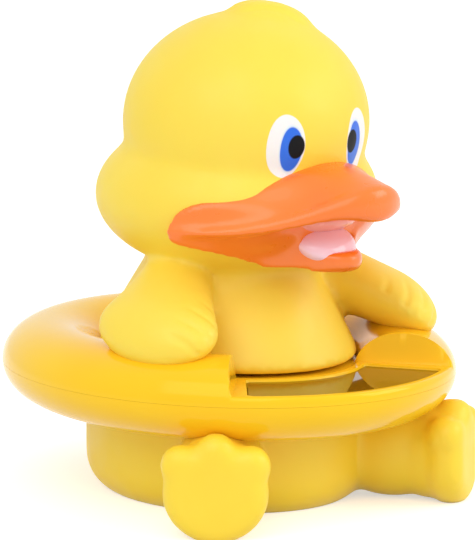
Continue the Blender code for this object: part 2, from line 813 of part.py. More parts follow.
def lower_section(turn):
    """Loop of the lower bill, whose side leans from the keel out to the rim."""
    front = max(math.cos(turn), 0.0)
    low = LOWER_CENTRE_Z + LOWER_CORNER_RISE * (1 - min(1.0, front / 0.55) ** 1.3)
    closed = smooth_step((abs(turn) - LIPS_PART_TURN) / (LIPS_MEET_TURN - LIPS_PART_TURN))
    top = low + LOWER_ROLL
    top += (crease_z(turn) - roll_height(turn) + 2 * GAP - top) * closed
    root = head_plan(turn * MOUTH_SPREAD, LOWER_ROOT_DEPTH)
    keel = bill_plan(turn, LOWER_REACH, LOWER_HALF_WIDTH, LOWER_FLARE_POWER)
    over = bill_plan(turn, UPPER_REACH - LIPS_STEP, UPPER_HALF_WIDTH - LIPS_STEP, UPPER_FLARE_POWER)
    lean = smooth_step((abs(turn) - LEAN_TURN) / (FULL_LEAN_TURN - LEAN_TURN))
    rim = between(keel, over, LEAN * lean)
    points = [place(*between(root, rim, (1 - LIP_SHARE) * step / 6), top) for step in range(7)]
    for step in range(1, 7):
        tilt = math.pi / 2 - math.pi * step / 7
        rise = (1 + math.sin(tilt)) / 2
        reach = 1 - LIP_SHARE + LIP_SHARE * math.cos(tilt) ** 0.8
        points.append(place(*between(root, between(keel, rim, rise), reach), low + (top - low) * rise))
    points += [place(*between(root, keel, (1 - LIP_SHARE) * (1 - step / 6)), low) for step in range(7)]
    return points


def add_bill(bm):
    """Open bill with its tongue, turned with the face."""
    fresh = bmesh.new()
    add_loft(fresh, [upper_section(turn) for turn in bill_turns()])
    add_loft(fresh, [lower_section(turn) for turn in bill_turns()])
    centre = place(0.0, TONGUE_FORWARD, TONGUE_Z)
    radii = (TONGUE_HALF_WIDTH, TONGUE_HALF_LENGTH, TONGUE_HALF_HEIGHT)
    add_ellipsoid(fresh, centre, radii, Matrix.Rotation(TONGUE_PITCH, 4, "X"))
    turn = Matrix.Rotation(HEAD_TURN, 3, "Z")
    bmesh.ops.rotate(fresh, verts=fresh.verts[:], cent=place(0.0, CHEEK_FORWARD, 0.0), matrix=turn)
    piece = bpy.data.meshes.new("bill")
    fresh.to_mesh(piece)
    fresh.free()
    bm.from_mesh(piece)
    bpy.data.meshes.remove(piece)


def add_head(bm, inset):
    """Cranium, cheeks and neck, moved inwards by an inset."""
    round_radii = (HEAD_RADIUS - inset, HEAD_RADIUS - inset, HEAD_HALF_HEIGHT - inset)
    add_ellipsoid(bm, place(0.0, HEAD_FORWARD, HEAD_Z), round_radii)
    cheek_radii = (CHEEK_RADIUS - inset, CHEEK_RADIUS - inset, CHEEK_HALF_HEIGHT - inset)
    add_ellipsoid(bm, place(0.0, CHEEK_FORWARD, CHEEK_Z), cheek_radii)
    add_cylinder(bm, 0.0, CHEEK_FORWARD, TORSO_TOP_Z - NECK_DEPTH, CHEEK_Z, NECK_RADIUS - inset, segments=32)


def add_torso(bm, inset):
    """Bell-shaped torso from the neck down to its rounded foot on the deck."""
    base_z = FIGURE_Z + inset
    rings = []
    rows = [(base_z, TORSO_EDGE), (base_z + TORSO_EDGE * 0.3, TORSO_EDGE * 0.3), (base_z + TORSO_EDGE, 0.0)]
    for z, shrink in rows:
        rings.append((z, 1.0, shrink))
    top_z = TORSO_TOP_Z - inset
    low_z = base_z + TORSO_EDGE
    for step in range(1, 11):
        share = step / 10
        ease = 1 - (1 - TORSO_SHOULDER) * share ** 1.12
        rings.append((low_z + (top_z - low_z) * share, ease, 0.0))
    loops = []
    for z, scale, shrink in rings:
        half_x = TORSO_HALF_WIDTH * scale - shrink - inset
        half_y = TORSO_HALF_LENGTH * scale - shrink - inset
        loops.append([Vector((x, y, z)) for x, y in oval_outline(half_x, half_y, 48)])
    add_loft(bm, loops)


def add_wings(bm):
    """Two wings that spread from the shoulders and lie on the ring, tips forward."""
    root = (SHOULDER_OUT, SHOULDER_FORWARD, SHOULDER_Z, SHOULDER_WIDTH, SHOULDER_LENGTH, SHOULDER_THICKNESS)
    tip = (WING_OUT, WING_FORWARD, WING_Z, WING_WIDTH, WING_LENGTH, WING_THICKNESS)
    for side in (-1, 1):
        turn = Matrix.Rotation(-side * WING_YAW, 4, "Z") @ Matrix.Rotation(side * WING_ROLL, 4, "Y")
        for lobe in range(WING_LOBES):
            share = lobe / (WING_LOBES - 1)
            out, forward, z, *radii = [a + (b - a) * share for a, b in zip(root, tip)]
            add_ellipsoid(bm, place(side * out, forward, z), radii, turn)


def add_eyes(bm):
    """Two low oval bosses that carry the painted eyes."""
    for side in (-1, 1):
        level = math.sqrt(1 - ((EYE_Z - HEAD_Z) / HEAD_HALF_HEIGHT) ** 2)
        angle = side * math.asin(EYE_OUT / (HEAD_RADIUS * level)) + EYE_TURN
        reach = HEAD_RADIUS * level
        centre = place(reach * math.sin(angle), HEAD_FORWARD + reach * math.cos(angle), EYE_Z)
        turn = Matrix.Rotation(angle, 4, "Z")
        add_ellipsoid(bm, centre, (EYE_HALF_WIDTH, EYE_RISE, EYE_HALF_HEIGHT), turn)


def add_tuft(bm):
    """Curl of down on the crown, a lock beside a smaller one."""
    for shift, scale, swing in TUFT_LOCKS:
        turn = Matrix.Rotation(swing, 4, "Z") @ Matrix.Rotation(TUFT_LEAN, 4, "Y")
        centre = place(TUFT_OUT + shift, TUFT_FORWARD, TUFT_Z - (1 - scale) * TUFT_HEIGHT)
        radii = (TUFT_LENGTH * scale, TUFT_WIDTH * scale, TUFT_HEIGHT * scale)
        add_ellipsoid(bm, centre, radii, turn)


def mould(item, voxel, faces, passes):
    """Blend overlapping lobes into one smooth skin with about the wanted face count."""
    remesh = item.modifiers.new("blend", "REMESH")
    remesh.mode = "VOXEL"
    remesh.voxel_size = voxel
    bake(item)
    smooth = item.modifiers.new("smooth", "SMOOTH")
    smooth.factor = 0.5
    smooth.iterations = passes
    bake(item)
    thin = item.modifiers.new("thin", "DECIMATE")
    thin.ratio = min(1.0, faces / (2 * len(item.data.polygons)))
    bake(item)


def build_figure(material):
    """Vinyl moulding of head, bill, torso and wings, hollow and open at the bottom."""
    bm = bmesh.new()
    add_head(bm, 0.0)
    add_torso(bm, 0.0)
    add_wings(bm)
    add_bill(bm)
    add_eyes(bm)
    add_tuft(bm)
    figure = new_object("duck_figure", bm, material, sharp=60.0)
    mould(figure, FIGURE_VOXEL, FIGURE_FACES, FIGURE_PASSES)

    core = bmesh.new()
    add_head(core, WALL)
    add_torso(core, WALL)
    core_item = new_object("core", core)
    mould(core_item, CORE_VOXEL, CORE_FACES, CORE_PASSES)
    combine(figure, core_item, "DIFFERENCE")
    throat = bmesh.new()
    seat_z = FIGURE_Z + WALL
    wide = COLLAR_RADIUS + COLLAR_BEAD + 2 * GAP
    top_z = DECK_Z + COLLAR_HEIGHT + 2 * OVERCUT
    collar = COLLAR_RADIUS + GAP
    steps = ((FIGURE_Z - OVERCUT, collar), (seat_z, collar), (seat_z, wide), (top_z, wide))
    add_loft(throat, [[Vector((x, y, z)) for x, y in oval_outline(r, r, 40)] for z, r in steps])
    combine(figure, new_object("throat", throat), "DIFFERENCE")

    bed = bmesh.new()
    add_shell(bed, ring_envelope_section)
    combine(figure, new_object("bed", bed), "DIFFERENCE")
    figure.data.shade_smooth()
    return figure


def ring_envelope_section(angle):
    """Section of the space that the ring takes, grown by the usual gap."""
    points = [ring_point(TUBE_HALF_WIDTH * 2, angle, DECK_Z + GAP)]
    for degrees in (166, 150, 130, 110, 90, 70, 50, 30, 14, 0):
        turn = math.radians(degrees)
        inset = TUBE_HALF_WIDTH - (TUBE_HALF_WIDTH + GAP) * math.cos(turn)
        height = RING_MID_Z + (TUBE_HALF_HEIGHT + GAP) * math.sin(turn)
        points.append(ring_point(inset, angle, min(height, recess_limit(angle, DECK_Z + GAP))))
    points.append(ring_point(-GAP, angle, RING_MID_Z - TUBE_HALF_HEIGHT))
    points.append(ring_point(TUBE_HALF_WIDTH * 2, angle, RING_MID_Z - TUBE_HALF_HEIGHT))
    return points


def foot_frame(side):
    """Frame of one foot: local Y points inwards along its leg, from the sole's middle."""
    reach = FOOT_REACH - FOOT_THICKNESS / 2
    centre = place(side * reach * math.sin(FOOT_ANGLE), reach * math.cos(FOOT_ANGLE), 0.0)
    return Matrix.Translation(centre) @ Matrix.Rotation(side * FOOT_ANGLE, 4, "Z")


def add_foot(bm, side):
    """Webbed foot standing on its heel with three toes up, its ankle and its leg."""
    frame = foot_frame(side)
    half_y = FOOT_THICKNESS / 2
    half_z = (FOOT_HEIGHT - TOE_RADIUS / 2 + OVERCUT) / 2
    middle = frame @ Matrix.Translation((0.0, 0.0, half_z - OVERCUT))
    add_pad(bm, FOOT_HALF_WIDTH, half_y, half_z, middle, FOOT_FLARE)
    for toe in (-1, 0, 1):
        height = FOOT_HEIGHT - TOE_RADIUS - (TOE_DROP if toe else 0.0)
        spot = frame @ Matrix.Translation((toe * TOE_SPACING, 0.0, height))
        add_pad(bm, TOE_RADIUS, half_y * TOE_SHARE, TOE_RADIUS, spot)
    for root, half_length in ((LEG_ROOT, LEG_HALF_LENGTH), (ANKLE_ROOT, ANKLE_HALF_LENGTH)):
        place_on_leg = frame @ Matrix.Translation((0.0, root, LEG_HALF_HEIGHT))
        matrix = place_on_leg @ Matrix.Diagonal((LEG_HALF_WIDTH, half_length, LEG_HALF_HEIGHT, 1.0))
        bmesh.ops.create_icosphere(bm, subdivisions=4, radius=1.0, matrix=matrix)


def add_tub(bm):
    """Oval tub of the seat with a round lower edge."""
    loops = []
    for step in range(7):
        turn = math.pi / 2 * step / 6
        shrink = SEAT_EDGE * (1 - math.sin(turn))
        z = SEAT_EDGE * (1 - math.cos(turn)) - OVERCUT * (1 - step / 6)
        outline = oval_outline(SEAT_HALF_WIDTH - shrink, SEAT_HALF_LENGTH - shrink, 48)
        loops.append([Vector((x, y, z)) for x, y in outline])
    outline = oval_outline(SEAT_HALF_WIDTH, SEAT_HALF_LENGTH, 48)
    loops.append([Vector((x, y, RING_MID_Z)) for x, y in outline])
    add_loft(bm, loops)


def build_seat(material):
    """Vinyl seat with legs and feet, its cavity, battery pocket, columns and holes."""
    bm = bmesh.new()
    add_tub(bm)
    for side in (-1, 1):
        add_foot(bm, side)
    seat = new_object("duck_seat", bm, material, sharp=60.0)
    mould(seat, SEAT_VOXEL, SEAT_FACES, SEAT_PASSES)

    trim = bmesh.new()
    reach = RING_HALF_LENGTH * 1.5
    add_box(trim, 0.0, 0.0, -SEAT_EDGE, 0.0, reach, reach)
    combine(seat, new_object("trim", trim), "DIFFERENCE")
    top = bmesh.new()
    outline = oval_outline(SEAT_HALF_WIDTH * 1.1, SEAT_HALF_LENGTH * 1.1, 48)
    add_plate(top, outline, SEAT_TOP_Z, RING_MID_Z * 1.2)
    combine(seat, new_object("top", top), "DIFFERENCE")
    bed = bmesh.new()
    add_shell(bed, ring_under_section)
    combine(seat, new_object("bed", bed), "DIFFERENCE")

    cavity = bmesh.new()
    floor_z = DOOR_SINK + DOOR_THICKNESS + DOOR_SEAL_HEIGHT + 2 * GAP + WALL / 2
    outline = oval_outline(SEAT_HALF_WIDTH - WALL, SEAT_HALF_LENGTH - WALL, 36)
    inset = SEAT_EDGE * SEAT_EDGE_SHARE
    lower = oval_outline(SEAT_HALF_WIDTH - inset, SEAT_HALF_LENGTH - inset, 36)
    loops = [[Vector((x, y, floor_z)) for x, y in lower]]
    loops += [[Vector((x, y, z)) for x, y in outline] for z in (SEAT_EDGE, SEAT_TOP_Z + OVERCUT)]
    add_loft(cavity, loops)
    cavity_item = new_object("cavity", cavity)
    for out, forward in shell_screw_places():
        column = bmesh.new()
        radius = SHELL_SCREW_HEAD + GAP + COLUMN_WALL
        add_cylinder(column, out, forward, 0.0, SEAT_TOP_Z + 2 * OVERCUT, radius, segments=16)
        combine(cavity_item, new_object("column", column), "DIFFERENCE")
    well = bmesh.new()
    half_x = DOOR_SCREW_OUT + DOOR_SCREW_RADIUS + COLUMN_WALL
    add_box(well, 0.0, 0.0, 0.0, POCKET_TOP_Z + POCKET_ROOF, half_x, POCKET_HALF_LENGTH + WALL)
    combine(cavity_item, new_object("well", well), "DIFFERENCE")
    combine(seat, cavity_item, "DIFFERENCE")

    cuts = bmesh.new()
    pocket = rounded_outline(POCKET_HALF_WIDTH, POCKET_HALF_LENGTH, DOOR_CORNER)
    add_plate(cuts, pocket, -OVERCUT, POCKET_TOP_Z)
    pocket = new_object("pocket", cuts)
    combine(seat, pocket, "DIFFERENCE")
    rebate = bmesh.new()
    outline = rounded_outline(DOOR_HALF_WIDTH + GAP, DOOR_HALF_LENGTH + GAP, DOOR_CORNER)
    add_plate(rebate, outline, -OVERCUT, DOOR_SINK + DOOR_THICKNESS + DOOR_SEAL_HEIGHT + 2 * GAP)
    combine(seat, new_object("rebate", rebate), "DIFFERENCE")

    holes = bmesh.new()
    for out, forward in shell_screw_places():
        add_cylinder(holes, out, forward, -OVERCUT, SHELL_SCREW_HEAD_Z + SHELL_SCREW_HEAD_HEIGHT + GAP,
                     SHELL_SCREW_HEAD + GAP, segments=16)
    for side in (-1, 1):
        top_z = DOOR_SINK + DOOR_SCREW_LENGTH + 2 * GAP
        add_cylinder(holes, side * DOOR_SCREW_OUT, 0.0, -OVERCUT, top_z, DOOR_SCREW_RADIUS + GAP, segments=16)
    add_cylinder(holes, 0.0, SENSOR_FORWARD, -OVERCUT, SENSOR_HEIGHT + floor_z, SENSOR_RADIUS + GAP)
    combine(seat, new_object("holes", holes), "DIFFERENCE")
    bores = bmesh.new()
    for out, forward in shell_screw_places():
        add_cylinder(bores, out, forward, SHELL_SCREW_HEAD_Z, SEAT_TOP_Z + OVERCUT, SHELL_SCREW_RADIUS + GAP,
                     segments=12)
    combine(seat, new_object("bores", bores), "DIFFERENCE")
    flange = bmesh.new()
    depth = SENSOR_SINK + SENSOR_WALL + GAP
    flange_radius = SENSOR_RADIUS + SENSOR_FLANGE + GAP
    add_cylinder(flange, 0.0, SENSOR_FORWARD, -OVERCUT, depth, flange_radius, segments=32)
    combine(seat, new_object("flange", flange), "DIFFERENCE")
    slots = bmesh.new()
    for side in (-1, 1):
        slot_z = POCKET_TOP_Z - OVERCUT
        roof_z = POCKET_TOP_Z + POCKET_ROOF + OVERCUT
        add_box(slots, side * CELL_SPACING / 2, 0.0, slot_z, roof_z, SLOT_HALF_WIDTH, SLOT_HALF_LENGTH)
    combine(seat, new_object("slots", slots), "DIFFERENCE")
    seat.data.shade_smooth()
    seat.data.set_sharp_from_angle(angle=math.radians(40.0))
    return seat


def ring_under_section(angle):
    """Section of the space under and inside the ring's lower half, grown by the gap."""
    points = [ring_point(TUBE_HALF_WIDTH, angle, RING_MID_Z + TUBE_HALF_HEIGHT)]
    points.append(ring_point(-GAP, angle, RING_MID_Z + TUBE_HALF_HEIGHT))
    for degrees in (0, -18, -36, -54, -72, -90):
        turn = math.radians(degrees)
        inset = TUBE_HALF_WIDTH - (TUBE_HALF_WIDTH + GAP) * math.cos(turn)
        points.append(ring_point(inset, angle, RING_MID_Z + (TUBE_HALF_HEIGHT + GAP) * math.sin(turn)))
    return points


def build_shell_screws(material):
    """Four long screws with their heads deep in the seat's columns."""
    names = ("back_right", "front_right", "back_left", "front_left")
    for name, (out, forward) in zip(names, shell_screw_places()):
        bm = bmesh.new()
        top_z = SHELL_SCREW_HEAD_Z + SHELL_SCREW_HEAD_HEIGHT
        add_cylinder(bm, out, forward, SHELL_SCREW_HEAD_Z, top_z, SHELL_SCREW_HEAD, segments=16)
        screw = new_object("shell_screw_" + name, bm, material)
        shank = bmesh.new()
        add_cylinder(shank, out, forward, top_z - GAP, SHELL_SCREW_TOP_Z, SHELL_SCREW_RADIUS, segments=12)
        combine(screw, new_object("shank", shank), "UNION")


def cell_base_z():
    """Underside of the battery cells, above the contact on the door."""
    return DOOR_SINK + DOOR_THICKNESS + CONTACT_THICKNESS + 2 * GAP


def build_cells(material):
    """Two button cells side by side."""
    for name, side in (("right", -1), ("left", 1)):
        bm = bmesh.new()
        base_z = cell_base_z()
        out = side * CELL_SPACING / 2
        lip = CELL_RADIUS * CELL_LIP_SHARE
        add_cylinder(bm, out, 0.0, base_z, base_z + CELL_HEIGHT, CELL_RADIUS, segments=20)
        cell = new_object("battery_cell_" + name, bm, material)
        bevel = cell.modifiers.new("rim", "BEVEL")
        bevel.width = lip
        bevel.segments = 1
        bevel.limit_method = "ANGLE"


def build_contacts(material):
    """Bridge on the door, a flat contact and a sprung contact over the cells."""
    bm = bmesh.new()
    base_z = DOOR_SINK + DOOR_THICKNESS + GAP
    half_x = CELL_SPACING / 2 + CELL_RADIUS * BRIDGE_OVERLAP
    add_box(bm, 0.0, 0.0, base_z, base_z + CONTACT_THICKNESS, half_x, CELL_RADIUS * 0.5)
    new_object("contact_bridge", bm, material)
    cell_top = cell_base_z() + CELL_HEIGHT + GAP
    for name, side in (("positive", -1), ("negative", 1)):
        bm = bmesh.new()
        out = side * CELL_SPACING / 2
        plate_z = POCKET_TOP_Z - GAP - CONTACT_THICKNESS
        add_box(bm, out, 0.0, plate_z, plate_z + CONTACT_THICKNESS, CELL_RADIUS * 0.75, CELL_RADIUS * 0.5)
        contact = new_object("contact_" + name, bm, material)
        tongue = bmesh.new()
        add_cylinder(tongue, out, 0.0, cell_top, plate_z + GAP / 2, CELL_RADIUS * 0.25, CELL_RADIUS * 0.5, 20)
        combine(contact, new_object("tongue", tongue), "UNION")
        tab = bmesh.new()
        tab_z = POCKET_TOP_Z + POCKET_ROOF + 2 * GAP
        add_box(tab, out, 0.0, plate_z + GAP / 2, tab_z, 0.0008, 0.0002)
        combine(contact, new_object("tab", tab), "UNION")


def build_door(material, seal_material, screw_material):
    """Battery door with its seal and two captive screws."""
    bm = bmesh.new()
    add_plate(bm, rounded_outline(DOOR_HALF_WIDTH, DOOR_HALF_LENGTH, DOOR_CORNER), DOOR_SINK,
              DOOR_SINK + DOOR_THICKNESS)
    door = new_object("battery_door", bm, material)
    cuts = bmesh.new()
    for side in (-1, 1):
        out = side * DOOR_SCREW_OUT
        add_cylinder(cuts, out, 0.0, -OVERCUT, DOOR_SINK + 2 * OVERCUT, DOOR_SCREW_RADIUS + GAP, segments=16)
    combine(door, new_object("holes", cuts), "DIFFERENCE")
    sinks = bmesh.new()
    sink_z = DOOR_SINK + DOOR_THICKNESS * SCREW_SINK_SHARE
    for side in (-1, 1):
        add_cylinder(sinks, side * DOOR_SCREW_OUT, 0.0, -OVERCUT, sink_z, DOOR_SCREW_HEAD + GAP, segments=20)
    combine(door, new_object("sinks", sinks), "DIFFERENCE")

    seal = bmesh.new()
    base_z = DOOR_SINK + DOOR_THICKNESS + GAP
    inner = rounded_outline(POCKET_HALF_WIDTH, POCKET_HALF_LENGTH, DOOR_CORNER)
    outer_x = POCKET_HALF_WIDTH + DOOR_SEAL_WIDTH
    outer_y = POCKET_HALF_LENGTH + DOOR_SEAL_WIDTH
    add_plate(seal, rounded_outline(outer_x, outer_y, DOOR_CORNER), base_z, base_z + DOOR_SEAL_HEIGHT)
    seal_item = new_object("door_seal", seal, seal_material)
    hole = bmesh.new()
    add_plate(hole, inner, base_z - OVERCUT, base_z + DOOR_SEAL_HEIGHT + OVERCUT)
    combine(seal_item, new_object("hole", hole), "DIFFERENCE")

    for name, side in (("right", -1), ("left", 1)):
        bm = bmesh.new()
        out = side * DOOR_SCREW_OUT
        head_z = sink_z - GAP
        add_cylinder(bm, out, 0.0, DOOR_SINK, head_z, DOOR_SCREW_HEAD, segments=20)
        screw = new_object("door_screw_" + name, bm, screw_material)
        shank = bmesh.new()
        end_z = DOOR_SINK + DOOR_SCREW_LENGTH
        add_cylinder(shank, out, 0.0, head_z - GAP, end_z, DOOR_SCREW_RADIUS, segments=12)
        combine(screw, new_object("shank", shank), "UNION")


def build_sensor(cap_material, bead_material):
    """Metal sensor cap in the floor with the thermistor bead inside it."""
    bm = bmesh.new()
    outer = SENSOR_RADIUS
    rim = SENSOR_RADIUS + SENSOR_FLANGE
    base_z = SENSOR_SINK
    top_z = SENSOR_SINK + SENSOR_HEIGHT
    inner = outer - SENSOR_WALL
    profile = (
        (0.0001, base_z),
        (rim, base_z),
        (rim, base_z + SENSOR_WALL),
        (outer, base_z + SENSOR_WALL),
        (outer, top_z),
        (inner, top_z),
        (inner, base_z + SENSOR_WALL),
        (0.0001, base_z + SENSOR_WALL),
    )
    add_loft(bm, [[Vector((x, y, z)) for x, y in oval_outline(r, r, 24)] for r, z in profile])
    bmesh.ops.translate(bm, verts=bm.verts[:], vec=place(0.0, SENSOR_FORWARD, 0.0))
    new_object("sensor_cap", bm, cap_material)
    bead = bmesh.new()
    bead_z = base_z + SENSOR_WALL + GAP + THERMISTOR_RADIUS
    add_ellipsoid(bead, place(0.0, SENSOR_FORWARD, bead_z), (THERMISTOR_RADIUS,) * 3, detail=2)
    new_object("thermistor", bead, bead_material)


def smooth_route(stops, spacing):
    """Evenly eased points through the stops of a lead, by Catmull-Rom spans."""
    padded = [stops[0] * 2 - stops[1]] + stops + [stops[-1] * 2 - stops[-2]]
    points = []
    for index in range(1, len(padded) - 2):
        before, start, end, after = padded[index - 1:index + 3]
        pieces = max(2, round((end - start).length / spacing))
        for piece in range(pieces):
            t = piece / pieces
            point = 2 * start + (end - before) * t
            point += (2 * before - 5 * start + 4 * end - after) * t * t
            point += (3 * start - before - 3 * end + after) * t ** 3
            points.append(point / 2)
    points.append(padded[-2])
    return points


def build_lead(name, stops, radius, material):
    """Insulated lead as a round tube with filled ends."""
    curve = bpy.data.curves.new(name, "CURVE")
    curve.dimensions = "3D"
    curve.bevel_depth = radius
    curve.bevel_resolution = 2
    curve.use_fill_caps = True
    points = smooth_route(stops, radius * 6)
    spline = curve.splines.new("POLY")
    spline.points.add(len(points) - 1)
    for target, point in zip(spline.points, points):
        target.co = (*point, 1.0)
    curve.materials.append(material)
    item = bpy.data.objects.new(name, curve)
    bpy.context.scene.collection.objects.link(item)


def build_leads(red, black, grey):
    """Two battery leads and the sensor lead, up through the cable hole to the board."""
    start_z = POCKET_TOP_Z + POCKET_ROOF + 3 * GAP + LEAD_RADIUS
    pad_z = board_top_z() + GAP
    pad_forward = RING_HALF_LENGTH - BOARD_INNER_INSET + PAD_INSET
    bend_forward = (CABLE_HOLE_FORWARD + 2 * pad_forward) / 3 - LEAD_BEND_BACK
    hole_z = RING_FLOOR_Z + WALL / 2
    for name, side, material in (("battery_lead_red", -1, red), ("battery_lead_black", 1, black)):
        out = side * CELL_SPACING / 2
        stops = [
            place(out, 0.0, start_z + GAP),
            place(out * 0.95, LEAD_FIRST_BEND, start_z + LEAD_RISE),
            place(out * 0.80, CABLE_HOLE_FORWARD, hole_z),
            place(out * 0.90, bend_forward, pad_z + LEAD_RADIUS + LEAD_LIFT),
            place(out, pad_forward, pad_z + LEAD_RADIUS),
        ]
        build_lead(name, stops, LEAD_RADIUS, material)
    bead_top = SENSOR_SINK + SENSOR_WALL + GAP + 2 * THERMISTOR_RADIUS
    stops = [
        place(0.0, SENSOR_FORWARD, bead_top + GAP),
        place(0.0, SENSOR_FORWARD, bead_top + SENSOR_LEAD_RISE),
        place(0.0, SENSOR_FORWARD / 2 - GAP, start_z + LEAD_RISE),
        place(0.0, 0.0, start_z + LEAD_RISE + OVERCUT),
        place(0.0, CABLE_HOLE_FORWARD, hole_z),
        place(0.0, bend_forward, pad_z + SENSOR_LEAD_RADIUS + LEAD_LIFT),
        place(0.0, pad_forward, pad_z + SENSOR_LEAD_RADIUS),
    ]
    build_lead("sensor_lead", stops, SENSOR_LEAD_RADIUS, grey)


def main():
    """Build every piece from the ring outwards."""
    clear_scene()
    vinyl = finish("vinyl_yellow", (1.0, 0.80, 0.12), 0.45)
    gloss = finish("gloss_yellow", (1.0, 0.66, 0.03), 0.12)
    smoke = finish("window_smoke", (0.10, 0.07, 0.02), 0.05)
    dark = finish("mask_black", (0.02, 0.02, 0.02), 0.60)
    glass = finish("lcd_grey", (0.42, 0.46, 0.36), 0.15)
    rubber = finish("rubber_grey", (0.10, 0.10, 0.10), 0.80)
    green = finish("board_green", (0.03, 0.22, 0.08), 0.45)
    steel = finish("steel", (0.72, 0.72, 0.74), 0.30, 1.0)
    nickel = finish("nickel", (0.78, 0.77, 0.73), 0.25, 1.0)
    resin = finish("resin_black", (0.015, 0.015, 0.015), 0.40)
    build_upper_shell(gloss)
    build_lower_shell(gloss)
    build_ring_seal(rubber)
    build_window(smoke)
    build_bezel(dark)
    build_lcd(glass)
    build_strip(rubber)
    build_board(green)
    build_chip(resin)
    build_board_screws(steel)
    build_figure(vinyl)
    build_seat(vinyl)
    build_shell_screws(steel)
    build_cells(nickel)
    build_contacts(nickel)
    build_door(finish("door_yellow", (1.0, 0.74, 0.08), 0.40), rubber, steel)
    build_sensor(steel, resin)
    red = finish("lead_red", (0.60, 0.03, 0.03), 0.50)
    black = finish("lead_black", (0.02, 0.02, 0.02), 0.50)
    grey = finish("lead_grey", (0.35, 0.35, 0.36), 0.50)
    build_leads(red, black, grey)


main()
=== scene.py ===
"""Dressed model of a floating bath thermometer: a duck seated in a glossy oval ring.

Metres, +Z up. The duck faces -Y, so its left side is +X, and "forward" is the
distance towards -Y. The ring's display window is in front of the duck.
"""

import logging
import math
from contextlib import contextmanager
from dataclasses import dataclass, field
from enum import Enum
from typing import Callable, Iterable, Iterator, Sequence

import bmesh
import bpy
from mathutils import Matrix, Vector


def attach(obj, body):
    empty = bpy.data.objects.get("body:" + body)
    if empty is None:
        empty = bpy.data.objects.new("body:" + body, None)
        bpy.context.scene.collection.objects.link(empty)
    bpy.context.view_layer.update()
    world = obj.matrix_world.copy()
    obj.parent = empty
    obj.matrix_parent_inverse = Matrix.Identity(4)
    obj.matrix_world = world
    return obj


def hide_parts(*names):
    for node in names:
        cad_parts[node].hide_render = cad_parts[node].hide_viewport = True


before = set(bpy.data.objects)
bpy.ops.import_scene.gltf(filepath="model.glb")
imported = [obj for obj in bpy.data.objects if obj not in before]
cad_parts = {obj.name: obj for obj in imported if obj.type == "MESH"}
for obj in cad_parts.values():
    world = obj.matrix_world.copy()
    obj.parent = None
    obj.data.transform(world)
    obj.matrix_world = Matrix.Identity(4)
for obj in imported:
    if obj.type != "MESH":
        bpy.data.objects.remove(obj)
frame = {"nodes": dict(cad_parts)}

LOG = logging.getLogger("bath_duck")
BODY = "root"
GAP = 0.0003
QUARTER = math.pi / 2

Plan = tuple[float, float]
Triple = tuple[float, float, float]
Colour = tuple[float, float, float]
Mesh = bmesh.types.BMesh
Item = bpy.types.Object
Nodes = dict[str, Item]
Socket = bpy.types.NodeSocket


class Side(Enum):
    """The duck's two sides, by the sign of X."""

    RIGHT = -1
    LEFT = 1


def spot(out: float, forward: float, z: float) -> Vector:
    """Point at a distance to the duck's left, a distance forward and a height."""
    return Vector((out, -forward, z))


def ease(value: float) -> float:
    """Smooth step from 0 to 1."""
    value = min(max(value, 0.0), 1.0)
    return value * value * (3 - 2 * value)


def soft_min(first: float, second: float, blend: float) -> float:
    """Smaller of two values, rounded where they differ by less than the blend."""
    share = max(blend - abs(first - second), 0.0) / blend
    return min(first, second) - share * share * blend / 4


def between(first: Plan, last: Plan, share: float) -> Plan:
    """Plan point part of the way from one to another."""
    return first[0] + (last[0] - first[0]) * share, first[1] + (last[1] - first[1]) * share


def quarter(steps: int, radius: float) -> list[Plan]:
    """Rise and inset along a quarter round, from its lowest point to its outermost."""
    turns = [QUARTER * step / steps for step in range(steps + 1)]
    return [(radius * (1 - math.cos(turn)), radius * (1 - math.sin(turn))) for turn in turns]


@dataclass(frozen=True)
class Lobe:
    """Ellipsoid that a moulded form is blended from, sizes in metres."""

    out: float
    forward: float
    z: float
    radii: Triple
    yaw: float = 0.0
    roll: float = 0.0
    pitch: float = 0.0

    def towards(self, other: "Lobe", share: float) -> "Lobe":
        """Lobe part of the way from this one to another."""
        near, far = ((lobe.out, lobe.forward, lobe.z, lobe.yaw, lobe.roll, lobe.pitch, *lobe.radii)
                     for lobe in (self, other))
        out, forward, z, yaw, roll, pitch, *radii = (a + (b - a) * share for a, b in zip(near, far))
        return Lobe(out, forward, z, tuple(radii), yaw, roll, pitch)

    def matrix(self, side: Side = Side.LEFT) -> Matrix:
        """Place, turn and radii of the lobe on one side of the duck, as one matrix."""
        sign = side.value
        turn = Matrix.Rotation(math.radians(self.yaw) * sign, 4, "Z")
        turn = turn @ Matrix.Rotation(math.radians(self.roll) * sign, 4, "Y")
        turn = turn @ Matrix.Rotation(math.radians(self.pitch), 4, "X")
        place = Matrix.Translation(spot(self.out * sign, self.forward, self.z))
        return place @ turn @ Matrix.Diagonal((*self.radii, 1.0))

    def add(self, bm: Mesh, side: Side = Side.LEFT) -> None:
        """Add the lobe to a mesh, on one side of the duck."""
        bmesh.ops.create_icosphere(bm, subdivisions=5, radius=1.0, matrix=self.matrix(side))


CHEEKS = Lobe(0.0, 0.0037, 0.0696, (0.0326, 0.0326, 0.0186))


